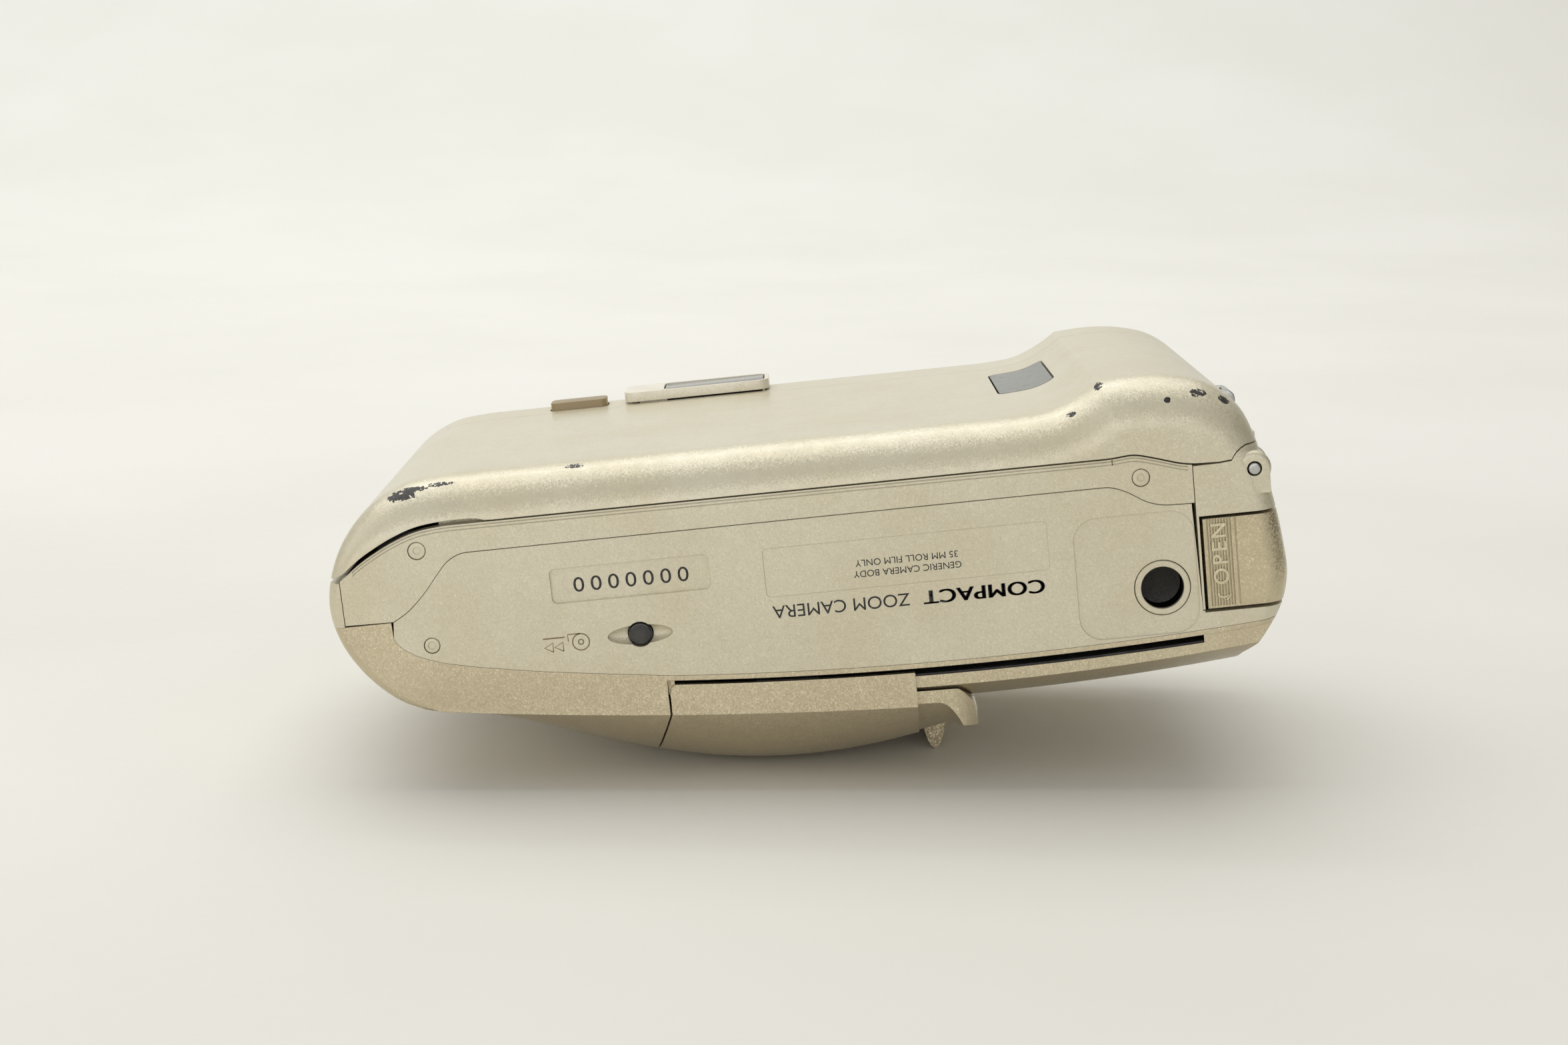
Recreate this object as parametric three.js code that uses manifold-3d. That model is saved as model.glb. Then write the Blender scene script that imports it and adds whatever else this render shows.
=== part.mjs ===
// Compact 35 mm film zoom camera with a sliding lens barrier, lying on its front.
// Millimetres. X runs along the length, the user's left at -X. Y runs from the base (-Y) to the
// top plate. Z runs from the lens side up to the film door, with Z = 0 at the barrier's finger ridge.
import * as THREE from 'three';
import { mergeVertices } from 'three/addons/utils/BufferGeometryUtils.js';
import Module from 'manifold-3d';

const wasm = await Module();
wasm.setup();

// ---------------------------------------------------------------- driving dimensions
const BASE_Y = -32;
const TOP_Y = 30.4;
const MID_Y = (BASE_Y + TOP_Y) / 2;
const HALF_HEIGHT = (TOP_Y - BASE_Y) / 2;
const WALL = 1.8;
const GAP = 0.25;
const BACK_Z = 46.7;
const GRIP_Z = 50.5;
const TOP_EDGE_RADIUS = 4;
const COVER_SPLIT_Y = 19.5;
const COVER_SPLIT_Z = 20;
const FAR = 80;

const HINGE = { x: 57.1, z: 38.0, pin: 0.75, barrel: 2.4, knuckle: 2.2 };
const HINGE_SPAN = { low: -27.75, high: 15.15 };

const BARRIER = { left: -19.3, bow: 3.6, right: 20, flangeRight: 12.3, skin: 1.2, flange: 0.9, step: 1.5 };
const RAIL = { x: 21.6, z: 506, radius: 489.5, left: -18.4, right: 49.4, width: 1.3, recess: 1.1 };
const PLATE_BULGE = 5.5;

const LENS = { x: -8.5, y: -6, hole: 13.8, zoom: 13.5, front: 11.9, glass: 8.8, frontZ: 8.2 };
const FILM_Z = 42.5;
const CASSETTE = { x: 28.5, z: 32.3, radius: 13 };
const SPOOL = { x: -43.5, z: 31.5, radius: 8.3 };
const BATTERY = { x: 51.2, z: 26.5, radius: 7.0, y0: -26.4, y1: 0.6 };
const BATTERY_HINGE = { x: 60.0, y: 3.4, pin: 0.5 };
const TRIPOD = { x: 44.5, z: 23.9, bore: 2.65, collar: 3.5, flange: 4.1, depth: 4.6 };
const REWIND = { x: -22.0, z: 24.6, radius: 1.5 };
const SHUTTER = { x: 44, z: 27, radius: 4.2 };
const FINDER = { x0: -17.5, x1: -5.0, y0: 21.2, y1: 27.0 };

// ---------------------------------------------------------------- materials
function finish(color, roughness, metalness, opacity = 1) {
  return new THREE.MeshStandardMaterial({
    color,
    roughness,
    metalness,
    opacity,
    transparent: opacity < 1,
  });
}

const CHAMPAGNE = finish(0xc9c0a4, 0.38, 0.45);
const CHAMPAGNE_FRONT = finish(0xb9aa83, 0.4, 0.45);
const BLACK = finish(0x17171a, 0.6, 0);
const BLACK_GLOSS = finish(0x0c0c0e, 0.2, 0);
const STEEL = finish(0xb4b4b0, 0.3, 0.9);
const BRASS = finish(0xb99a55, 0.35, 0.85);
const SMOKE = finish(0x7d8084, 0.2, 0, 0.7);
const CLEAR = finish(0xdfe6ea, 0.08, 0, 0.45);
const CIRCUIT = finish(0x2f6b45, 0.6, 0);
const FOAM = finish(0x222224, 0.95, 0);
const TAN = finish(0x8f7a52, 0.4, 0.2);
const CELL = finish(0x3a3f4a, 0.35, 0.3);

// ---------------------------------------------------------------- solids
// A three.js geometry as a manifold: welded by position, no slivers, faces pointing out.
function solid(geometry) {
  const bare = geometry.clone();
  bare.deleteAttribute('normal');
  bare.deleteAttribute('uv');
  const welded = mergeVertices(bare, 1e-4);
  const points = new Float32Array(welded.attributes.position.array);
  const corner = (index) => new THREE.Vector3().fromArray(points, 3 * index);
  const triangles = [];
  let volume = 0;
  for (let i = 0; i < welded.index.count; i += 3) {
    const [a, b, c] = [0, 1, 2].map((k) => welded.index.array[i + k]);
    if (a === b || b === c || c === a) continue;
    triangles.push(a, b, c);
    volume += corner(a).dot(corner(b).cross(corner(c)));
  }
  if (volume < 0) triangles.reverse();
  const triVerts = new Uint32Array(triangles);
  return new wasm.Manifold(new wasm.Mesh({ numProp: 3, vertProperties: points, triVerts }));
}

function box(x0, x1, y0, y1, z0, z1) {
  const geometry = new THREE.BoxGeometry(x1 - x0, y1 - y0, z1 - z0);
  return solid(geometry.translate((x0 + x1) / 2, (y0 + y1) / 2, (z0 + z1) / 2));
}

function cylinderY(x, z, radius, y0, y1, segments = 32) {
  const geometry = new THREE.CylinderGeometry(radius, radius, y1 - y0, segments);
  return solid(geometry.translate(x, (y0 + y1) / 2, z));
}

function cylinderZ(x, y, radius, z0, z1, segments = 32) {
  const geometry = new THREE.CylinderGeometry(radius, radius, z1 - z0, segments);
  return solid(geometry.rotateX(Math.PI / 2).translate(x, y, (z0 + z1) / 2));
}

// Outlines are lists of [x, z] for prismY and [x, y] for prismZ.
function extruded(outline, depth) {
  const shape = new THREE.Shape(outline.map(([u, v]) => new THREE.Vector2(u, v)));
  return new THREE.ExtrudeGeometry(shape, { depth, bevelEnabled: false });
}

function prismY(outline, y0, y1) {
  return solid(extruded(outline, y1 - y0).rotateX(Math.PI / 2).translate(0, y1, 0));
}

function prismZ(outline, z0, z1) {
  return solid(extruded(outline, z1 - z0).translate(0, 0, z0));
}

function roundedRectangle(u0, u1, v0, v1, radius, steps = 4) {
  const outline = [];
  const centres = [
    [u1 - radius, v0 + radius, -90],
    [u1 - radius, v1 - radius, 0],
    [u0 + radius, v1 - radius, 90],
    [u0 + radius, v0 + radius, 180],
  ];
  for (const [u, v, start] of centres) {
    for (let i = 0; i <= steps; i++) {
      const angle = THREE.MathUtils.degToRad(start + (90 * i) / steps);
      outline.push([u + radius * Math.cos(angle), v + radius * Math.sin(angle)]);
    }
  }
  return outline;
}

// A solid of revolution about a line along Z through (x, y), from [radius, z] points.
function latheZ(x, y, profile, segments = 40) {
  const points = profile.map(([radius, z]) => new THREE.Vector2(radius, z));
  const geometry = new THREE.LatheGeometry(points, segments);
  return solid(geometry.rotateX(Math.PI / 2).translate(x, y, 0));
}

function tubeZ(x, y, outer, inner, z0, z1, segments = 40) {
  return latheZ(x, y, [[inner, z0], [outer, z0], [outer, z1], [inner, z1], [inner, z0]], segments);
}

// A closed skin over rings of equal point count, each ring a list of [x, y, z] counterclockwise
// in x and z; both ends capped.
function loft(rings) {
  const count = rings[0].length;
  const index = [];
  for (let k = 0; k + 1 < rings.length; k++) {
    for (let i = 0; i < count; i++) {
      const [a, b] = [k * count + i, k * count + ((i + 1) % count)];
      index.push(a, b, b + count, a, b + count, a + count);
    }
  }
  const cap = (ring) => {
    return THREE.ShapeUtils.triangulateShape(ring.map(([x, , z]) => new THREE.Vector2(x, z)), []);
  };
  const last = (rings.length - 1) * count;
  for (const [a, b, c] of cap(rings[0])) index.push(a, c, b);
  for (const [a, b, c] of cap(rings.at(-1))) index.push(last + a, last + b, last + c);
  const geometry = new THREE.BufferGeometry();
  geometry.setAttribute('position', new THREE.Float32BufferAttribute(rings.flat(2), 3));
  geometry.setIndex(index);
  return solid(geometry);
}

function union(...parts) {
  return parts.reduce((whole, part) => whole.add(part));
}

const camera = new THREE.Group();

function place(name, body, material) {
  const mesh = body.getMesh();
  const geometry = new THREE.BufferGeometry();
  geometry.setAttribute('position', new THREE.Float32BufferAttribute(mesh.vertProperties, 3));
  geometry.setIndex(new THREE.BufferAttribute(mesh.triVerts, 1));
  geometry.computeVertexNormals();
  const node = new THREE.Mesh(geometry, material);
  node.name = name;
  camera.add(node);
}

// ---------------------------------------------------------------- body surface
// Height of the front's crisp lower edge, and how far the dome stands out below it.
function creaseZ(x) {
  return 17.15 - 0.11655 * (x + 49.4) + 0.000778 * (x + 49.4) * (x + 19.8);
}

function domeBulge(x) {
  const swell = 10.3 * Math.cos(Math.min(Math.abs(0.0385 * (x + 7.5)), Math.PI / 2));
  return Math.max(swell, x < 0 ? 0.25 : 4);
}

function plateCreaseZ(x) {
  return 14.48 + 0.0214 * (x - 18.7) + 0.00144 * (x - 18.7) * (x - 40.1);
}

// 1 at mid height, 0 at the base and top faces: how the front stands out between its two edges.
function crown(y, halfHeight = HALF_HEIGHT) {
  const eta = Math.min(Math.abs(y - MID_Y) / halfHeight, 1);
  return 1 - eta ** 4.5;
}

function domeZ(x, y) {
  return creaseZ(x) - domeBulge(x) * crown(y);
}

function plateZ(x, y) {
  return plateCreaseZ(x) - PLATE_BULGE * crown(y);
}

function barrierLeft(y) {
  return BARRIER.left - BARRIER.bow * crown(y);
}

// Outline of the body seen from the base, as [x, z, edge radius].
const RIGHT_SIDE = [
  [54.6, 13.4, 1.2],
  [57.2, 16.2, 1.8],
  [59.6, 19.6, 2.6],
  [60.8, 23.5, 3.2],
  [60.5, 28.5, 3.2],
  [59.7, 33.5, 3.0],
  [58.8, 37.5, 3.0],
  [58.0, 41.5, 4.2],
  [56.4, 45.4, 5.6],
  [52.9, 48.5, 6.2],
  [48.5, 50.0, 6.4],
  [43.8, GRIP_Z, 6.5],
  [39.0, 50.3, 6.5],
];
const GRIP_HOLLOW = [
  [39.0, 50.3, 6.5],
  [36.4, 48.7, 6.5],
  [32.8, 47.2, 6.5],
  [28.0, BACK_Z, 6.5],
];
const LEFT_SIDE = [
  [-45.0, BACK_Z, 6.5],
  [-50.2, 46.1, 6.2],
  [-55.0, 43.7, 5.0],
  [-58.7, 39.6, 3.2],
  [-60.6, 35.0, 1.8],
  [-61.0, 31.2, 1.3],
  [-60.0, 26.8, 1.3],
  [-57.4, 22.4, 1.3],
  [-53.6, 18.9, 1.0],
  [-50.4, 17.4, 0.6],
];

function sampled(points, count) {
  const curve = new THREE.CatmullRomCurve3(points.map((p) => new THREE.Vector3(...p)), false, 'centripetal');
  return curve.getPoints(count).map((p) => ({ x: p.x, z: p.y, radius: p.z, front: false }));
}

function bodyOutline() {
  const FRONT_STEPS = 14;
  const front = [];
  for (let i = 0; i <= FRONT_STEPS; i++) {
    const x = THREE.MathUtils.lerp(-48.6, 53.4, i / FRONT_STEPS);
    front.push({ x, z: creaseZ(x), radius: 0, front: true });
  }
  const right = sampled(RIGHT_SIDE, 18);
  const hollow = sampled(GRIP_HOLLOW, 5).slice(1);
  const left = sampled(LEFT_SIDE, 15);
  return [...front, ...right, ...hollow, ...left];
}

// The outline's outward direction at each point, longer at a corner so that both sides keep step.
function withNormals(outline) {
  const count = outline.length;
  return outline.map((point, i) => {
    const before = outline[(i + count - 1) % count];
    const after = outline[(i + 1) % count];
    const edges = [[before, point], [point, after]].map(([a, b]) => {
      return new THREE.Vector2(b.z - a.z, a.x - b.x).normalize();
    });
    const sum = edges[0].clone().add(edges[1]).normalize();
    return { ...point, normal: sum.divideScalar(Math.max(sum.dot(edges[0]), 0.6)) };
  });
}

// Depths below the base and top faces at which the skin has a row of points.
const ROW_DEPTHS = [0, 0.3, 1.0, 2.1, 3.6, 5.2, 7.0, 12, 20];

function rowHeights(inset) {
  const low = ROW_DEPTHS.map((depth) => BASE_Y + inset + depth);
  const high = ROW_DEPTHS.map((depth) => TOP_Y - inset - depth).reverse();
  return [...low, MID_Y, ...high];
}

// The whole outer body, or with an inset the space inside its wall.
function bodySolid(inset) {
  const outline = withNormals(bodyOutline());
  const rings = rowHeights(inset).map((y) => outline.map((point) => {
    if (point.front) {
      const z = point.z + 1.2 * inset - domeBulge(point.x) * crown(y, HALF_HEIGHT - inset);
      return [point.x, y, z];
    }
    const edge = y > MID_Y ? Math.min(point.radius, TOP_EDGE_RADIUS) : point.radius;
    const radius = Math.max(edge - inset, 0.2);
    const depth = HALF_HEIGHT - inset - Math.abs(y - MID_Y);
    const short = Math.max(radius - depth, 0);
    const shrink = inset + radius - Math.sqrt(radius * radius - short * short);
    return [point.x - shrink * point.normal.x, y, point.z - shrink * point.normal.y];
  }));
  return loft(rings);
}

// Everything in front of the plate that the barrier slides over. An inset makes the plate's back.
function plateRecess(inset) {
  const ROWS = 14;
  const COLUMNS = 12;
  const rings = [];
  const row = (y, reach) => {
    const left = barrierLeft(y) - inset;
    const ring = [[left, y, -FAR / 8], [FAR, y, -FAR / 8]];
    for (let i = COLUMNS; i >= 0; i--) {
      const x = THREE.MathUtils.lerp(left, 64, i / COLUMNS);
      ring.push([i === COLUMNS ? FAR : x, y, plateZ(x, reach) + inset]);
    }
    rings.push(ring);
  };
  row(BASE_Y - 1, BASE_Y);
  for (let k = 0; k <= ROWS; k++) {
    const y = MID_Y - HALF_HEIGHT * Math.cos((k / ROWS) * Math.PI);
    row(y, y);
  }
  row(TOP_Y + 1, TOP_Y);
  return loft(rings);
}

// Height of the rail slot's upper edge: an arc about the far rail centre.
function railZ(x, offset = 0) {
  return RAIL.z - Math.sqrt((RAIL.radius + offset) ** 2 - (x - RAIL.x) ** 2);
}

function railCurve(x0, x1, offset, steps = 10) {
  const curve = [];
  for (let i = 0; i <= steps; i++) {
    const x = THREE.MathUtils.lerp(x0, x1, i / steps);
    curve.push([x, railZ(x, offset)]);
  }
  return curve;
}

const bodyOuter = bodySolid(0);
const bodyInner = bodySolid(WALL);
const flangeRecess = [[BARRIER.left, -FAR / 8], ...railCurve(BARRIER.left, 60, 0).reverse(), [60, -FAR / 8]];
const carved = bodyOuter
  .subtract(plateRecess(0))
  .subtract(prismY(sortedOutline(flangeRecess), BASE_Y - 1, BASE_Y + RAIL.recess))
  .subtract(prismY(sortedOutline(flangeRecess), TOP_Y - RAIL.recess, TOP_Y + 1));
const shell = carved.subtract(bodyInner.subtract(plateRecess(WALL)));

// The recess outline in walking order: up the left, along the rail curve, down the right.
function sortedOutline(outline) {
  const [start, ...rest] = outline;
  const end = rest.pop();
  return [start, end, ...rest];
}

// ---------------------------------------------------------------- seams, as [x, z]
const DOOR_EDGE = [
  [-60.0, 35.0],
  [-58.8, 35.4],
  [-56.2, 37.4],
  [-52.5, 39.4],
  [-49.0, 40.7],
  [-45.5, 41.1],
  [39.4, 41.0],
  [42.1, 41.3],
  [44.6, 40.6],
  [48.7, 39.3],
  [52.8, 39.2],
  [54.3, 39.35],
  [54.6, 39.85],
  [55.0, 40.3],
  [55.6, 40.72],
  [56.3, 41.0],
];
const PLATE_TOP = [
  [-53.0, 29.3],
  [-51.0, 30.4],
  [-48.7, 32.5],
  [-46.8, 34.8],
  [-45.3, 36.5],
  [-43.5, 37.4],
  [38.9, 37.5],
  [40.9, 36.7],
  [43.3, 35.1],
  [45.3, 34.5],
  [48.9, 34.4],
];
const PLATE_FOOT = [
  [-53.2, 27.1],
  [-52.4, 25.8],
  [-50.4, 24.5],
  [-47.5, 23.4],
  [-43.0, 22.4],
  [-35.0, 21.0],
  [-27.0, 19.9],
];
const TRIM_X = -59.2;
const SIDE_X = 49.4;
const FOOT_LIFT = 0.65;

const plateFoot = [...PLATE_FOOT, ...railCurve(-18.5, 62, -FOOT_LIFT, 12)];

function shifted(points, dx, dz) {
  return points.map(([x, z]) => [x + dx, z + dz]);
}

const doorRegion = prismY(
  [[-FAR, 35 + GAP / 2], ...shifted(DOOR_EDGE, 0, GAP / 2), [FAR, 41.0 + GAP / 2], [FAR, FAR], [-FAR, FAR]],
  BASE_Y - 1,
  COVER_SPLIT_Y - GAP / 2,
);
const belowDoor = [...shifted(DOOR_EDGE, 0, -GAP / 2)];
const hingeClear = (radius, y0, y1) => cylinderY(HINGE.x, HINGE.z, radius, y0, y1);
const coverRegion = box(-FAR, FAR, COVER_SPLIT_Y + GAP / 2, FAR, COVER_SPLIT_Z + GAP / 2, FAR);
const belowCover = box(-FAR, FAR, -FAR, COVER_SPLIT_Y - GAP / 2, -FAR, FAR);

// ---------------------------------------------------------------- film door
function filmDoor() {
  const { low, high } = HINGE_SPAN;
  const windowHole = prismZ(roundedRectangle(27.7, 35.5, -6, 13, 1.2), 40, 60);
  const skin = shell
    .intersect(doorRegion)
    .subtract(hingeClear(HINGE.knuckle + GAP, BASE_Y - 1, low - GAP))
    .subtract(hingeClear(HINGE.knuckle + GAP, high + GAP, COVER_SPLIT_Y));
  const barrel = cylinderY(HINGE.x, HINGE.z, HINGE.barrel, low, high, 24);
  const web = box(55.9, 58.1, low, high, HINGE.z, HINGE.z + 4);
  const bore = hingeClear(HINGE.pin + 0.1, -FAR, FAR);
  return union(skin, barrel, web).subtract(bore).subtract(windowHole);
}

place('film_door', filmDoor(), CHAMPAGNE);

const windowPane = prismZ(roundedRectangle(27.95, 35.25, -5.75, 12.75, 1.0), 40, 60);
place('film_window', shell.intersect(windowPane), SMOKE);

place('hinge_pin', cylinderY(HINGE.x, HINGE.z, HINGE.pin, BASE_Y + 0.15, COVER_SPLIT_Y - 0.6, 20), STEEL);

const HOOK = { x0: -56.6, x1: -55.4, y0: 0.5, y1: 5.5 };
const doorHook = box(HOOK.x0, HOOK.x1, HOOK.y0, HOOK.y1, 34.0, 42.0).subtract(
  box(HOOK.x0 - 1, HOOK.x1 + 1, HOOK.y0 + 1.6, HOOK.y1 + 1, 35.4, 38.5),
);
place('door_hook', doorHook.intersect(bodyInner), STEEL);

const PRESSURE = { x0: -28.5, x1: 10.5, y0: -21, y1: 9 };
place(
  'pressure_plate',
  prismZ(roundedRectangle(PRESSURE.x0, PRESSURE.x1, PRESSURE.y0, PRESSURE.y1, 2), 42.9, 43.7),
  BLACK,
);
const springLeaf = box(-19, 1, -8.2, -3.8, 43.75, 44.15).add(box(-11.5, -6.5, -8.2, -3.8, 44.0, 44.75));
place('pressure_spring', springLeaf, BRASS);

// ---------------------------------------------------------------- fixed covers
const trimRegion = prismY([[-FAR, 29.2], [TRIM_X, 29.2], [TRIM_X, 35 - GAP], [-FAR, 35 - GAP]], -FAR, FAR);
const RELEASE = { y0: -4, y1: 8, z0: 29.9, z1: 33.3, travel: 3 };
const releaseSlot = box(-FAR, -50, RELEASE.y0 - 0.4, RELEASE.y0 + 7, 30.9, 32.3);
place('left_trim', shell.intersect(trimRegion).intersect(belowCover).subtract(releaseSlot), CHAMPAGNE);

const releaseKnob = prismZ(roundedRectangle(-63.8, -61.25, RELEASE.y0, RELEASE.y1, 1.0), RELEASE.z0, RELEASE.z1);
const releaseStem = box(-62, -57.9, RELEASE.y0 + 3.2, RELEASE.y0 + 6.6, 31.15, 32.05);
const releasePlate = box(-58.6, -57.5, RELEASE.y0 + 1, RELEASE.y1 - 1, 29.9, 33.3);
place('door_release', union(releaseKnob, releaseStem, releasePlate), CHAMPAGNE);

function rearFrame() {
  const region = prismY(
    [
      [TRIM_X + GAP, 29.4 + GAP / 2],
      ...shifted(PLATE_TOP, 0, GAP / 2),
      [SIDE_X - GAP, 34.4 + GAP / 2],
      [SIDE_X - GAP, 39.1 - GAP / 2],
      ...belowDoor.slice(0, 10).reverse().filter(([x]) => x < SIDE_X - GAP && x > TRIM_X + GAP),
      [TRIM_X + GAP, 35.1 - GAP / 2],
    ],
    BASE_Y - 1,
    BASE_Y + WALL + 0.6,
  );
  const lip = box(-46, 40, BASE_Y + WALL + 0.4, BASE_Y + WALL + 1.0, 38.2, 41.5);
  const root = box(-46, 40, BASE_Y + WALL - 0.4, BASE_Y + WALL + 1.0, 38.2, 40.4);
  const plugs = [[-48.9, 38.2], [42.8, 38.3]].map(([x, z]) => cylinderY(x, z, 1.3, -FAR, BASE_Y + 0.6, 24));
  return shell.intersect(region).add(root).add(lip).subtract(union(...plugs));
}

place('rear_frame', rearFrame(), CHAMPAGNE);

[[-48.9, 38.2], [42.8, 38.3]].forEach(([x, z], i) => {
  place(`frame_plug_${i + 1}`, cylinderY(x, z, 1.1, BASE_Y, BASE_Y + 0.5, 24), CHAMPAGNE);
});

const BATTERY_DOOR = { x0: 50.1, tabZ: [20.6, 32.2], panelX: 55.5, panelZ: [19.4, 33.6], tabY: -26, endY: 3.8 };

function batteryDoorRegion(gap) {
  const { x0, tabZ, panelX, panelZ, tabY, endY } = BATTERY_DOOR;
  const tab = box(x0 - gap, FAR, BASE_Y - 1, tabY, tabZ[0] - gap, tabZ[1] + gap);
  const panel = box(panelX, FAR, tabY - 0.5 - gap, endY + 3 * gap, panelZ[0] - gap, panelZ[1] + gap);
  return tab.add(panel);
}

function bottomPlate() {
  const region = prismY(
    [
      ...shifted(PLATE_TOP, 0, -GAP / 2).reverse(),
      ...shifted(plateFoot, 0, GAP / 2),
      [62, 20.4],
      [SIDE_X, 20.4],
    ],
    BASE_Y - 1,
    BASE_Y + WALL + 0.4,
  );
  const serial = prismY(roundedRectangle(-32.6, -12.4, 29.6, 34.1, 0.6), BASE_Y - 1, BASE_Y + 0.3);
  const notice = prismY(roundedRectangle(-5.5, 30.5, 27.7, 34.0, 0.6), BASE_Y - 1, BASE_Y + 0.15);
  const pad = prismY(roundedRectangle(33.7, 49.0, 17.9, 33.7, 3), BASE_Y - 1, BASE_Y + 0.2);
  const socket = cylinderY(TRIPOD.x, TRIPOD.z, TRIPOD.collar + 0.15, -FAR, -20);
  const button = cylinderY(REWIND.x, REWIND.z, REWIND.radius + 0.2, -FAR, -20, 24);
  const screwHole = cylinderY(-48.5, 25.8, 1.15, -FAR, -20, 20);
  return shell
    .intersect(region)
    .subtract(batteryDoorRegion(GAP))
    .subtract(union(serial, notice, pad, socket, button, screwHole));
}

place('bottom_plate', bottomPlate(), CHAMPAGNE);

const plateScrew = cylinderY(-48.5, 25.8, 0.95, BASE_Y + 0.4, BASE_Y + 2.8, 20).subtract(
  union(
    box(-49.2, -47.8, BASE_Y, BASE_Y + 0.8, 25.65, 25.95),
    box(-48.65, -48.35, BASE_Y, BASE_Y + 0.8, 25.1, 26.5),
  ),
);
place('plate_screw', plateScrew, STEEL);

const rewindButton = cylinderY(REWIND.x, REWIND.z, REWIND.radius, BASE_Y + 0.25, BASE_Y + 3, 24).add(
  cylinderY(REWIND.x, REWIND.z, REWIND.radius + 0.8, BASE_Y + WALL + 0.25, BASE_Y + WALL + 0.9, 24),
);
place('rewind_button', rewindButton, BLACK);

const tripodBush = cylinderY(TRIPOD.x, TRIPOD.z, TRIPOD.collar, BASE_Y + 0.15, BASE_Y + TRIPOD.depth, 40)
  .add(cylinderY(TRIPOD.x, TRIPOD.z, TRIPOD.flange, BASE_Y + WALL + GAP, BASE_Y + TRIPOD.depth, 40))
  .subtract(cylinderY(TRIPOD.x, TRIPOD.z, TRIPOD.bore, BASE_Y - 1, BASE_Y + TRIPOD.depth - 0.5, 40));
place('tripod_bush', tripodBush, STEEL);

// ---------------------------------------------------------------- grip side, lug
function gripSide() {
  const { low, high } = HINGE_SPAN;
  const region = prismY(
    [
      [SIDE_X, 20.55],
      [55.5, 20.55],
      [55.5, 18.4],
      [FAR, 18.4],
      [FAR, 41.0 - GAP / 2],
      ...belowDoor.slice(10).reverse(),
      [SIDE_X, 39.1],
    ],
    BASE_Y - 1,
    COVER_SPLIT_Y - GAP / 2,
  );
  const plateCorner = box(SIDE_X - 1, FAR, BASE_Y - 1, BASE_Y + WALL + 0.65, 0, 20.55);
  const wall = shell
    .intersect(region)
    .subtract(plateCorner)
    .subtract(batteryDoorRegion(GAP))
    .subtract(hingeClear(HINGE.barrel + 2 * GAP, low - GAP, high + GAP))
    .subtract(box(54, FAR, low - GAP, high + GAP, HINGE.z - 1.2, FAR));
  const knuckles = [[BASE_Y + 0.1, low - GAP], [high + GAP, COVER_SPLIT_Y - GAP]].map(([y0, y1]) => {
    const foot = box(HINGE.x - 1.6, HINGE.x + 1.9, y0, y1, 34.8, HINGE.z);
    return cylinderY(HINGE.x, HINGE.z, HINGE.knuckle, y0, y1, 24).add(foot);
  });
  const bore = hingeClear(HINGE.pin + 0.1, -FAR, FAR);
  return union(wall, ...knuckles).subtract(bore);
}

place('grip_side', gripSide(), CHAMPAGNE);

const strapBar = prismY(roundedRectangle(54, 63.8, 35.6, 40.0, 1.2), 20.4, 26.2).subtract(
  box(60.6, 62.4, 21.7, 24.9, 30, 44),
);
place('strap_lug', strapBar.subtract(bodyOuter), STEEL);

// ---------------------------------------------------------------- battery door and battery
function batteryDoor() {
  const skin = shell.intersect(batteryDoorRegion(0));
  const { panelZ, endY } = BATTERY_DOOR;
  const ears = [[panelZ[0], panelZ[0] + 2.2], [panelZ[1] - 2.2, panelZ[1]]].map(([z0, z1]) => {
    return cylinderZ(BATTERY_HINGE.x - 0.4, BATTERY_HINGE.y - 0.6, 1.1, z0, z1, 20);
  });
  const ribs = [];
  for (let i = 0; i < 7; i++) {
    const x = BATTERY_DOOR.x0 + 0.8 + 0.8 * i;
    ribs.push(box(x, x + 0.35, BASE_Y - 1, BASE_Y + 0.2, 22.5, 32.6));
  }
  const pinBore = cylinderZ(BATTERY_HINGE.x, BATTERY_HINGE.y, BATTERY_HINGE.pin + 0.1, -FAR, FAR, 16);
  const trimmed = box(-FAR, FAR, endY, FAR, -FAR, FAR);
  return union(skin, ...ears).subtract(union(...ribs)).subtract(pinBore).subtract(trimmed);
}

const pivotPin = cylinderZ(BATTERY_HINGE.x, BATTERY_HINGE.y, BATTERY_HINGE.pin, 19.2, 33.8, 16);
place('battery_door', batteryDoor(), CHAMPAGNE);
place('battery_door_pin', pivotPin, STEEL);

const cellRoom = BATTERY.radius + 0.3;
const cellBox = box(42.6, 58.4, -27.3, 2.6, 18.4, 34.8)
  .subtract(cylinderY(BATTERY.x, BATTERY.z, cellRoom, BATTERY.y0 - 0.2, 1.4, 36))
  .subtract(box(BATTERY.x, FAR, BATTERY.y0 - 0.2, 1.4, BATTERY.z - cellRoom, BATTERY.z + cellRoom))
  .subtract(batteryDoorRegion(GAP))
  .intersect(bodyInner);
place('battery_box', cellBox, BLACK);
const cell = union(
  cylinderY(BATTERY.x, BATTERY.z, BATTERY.radius, BATTERY.y0 + 0.5, BATTERY.y1 - 1.0, 36),
  cylinderY(BATTERY.x, BATTERY.z, 2.4, BATTERY.y0 + 0.5, BATTERY.y1 - 0.2, 20),
);
place('battery', cell, CELL);
place('battery_contact_low', cylinderY(BATTERY.x, BATTERY.z, 4, BATTERY.y0 - 0.1, BATTERY.y0 + 0.4, 24), BRASS);
place('battery_contact_high', cylinderY(BATTERY.x, BATTERY.z, 3, BATTERY.y1 - 0.1, BATTERY.y1 + 0.5, 24), BRASS);

// ---------------------------------------------------------------- front cover and its windows
const WINDOWS = {
  finder: roundedRectangle(-16.8, -5.4, 20.6, 27.6, 1.2),
  focus: roundedRectangle(-2.2, 8.4, 21.2, 27.0, 1.2),
  flash: roundedRectangle(-50.5, -29.5, 7.5, 22.5, 1.5),
};

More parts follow.
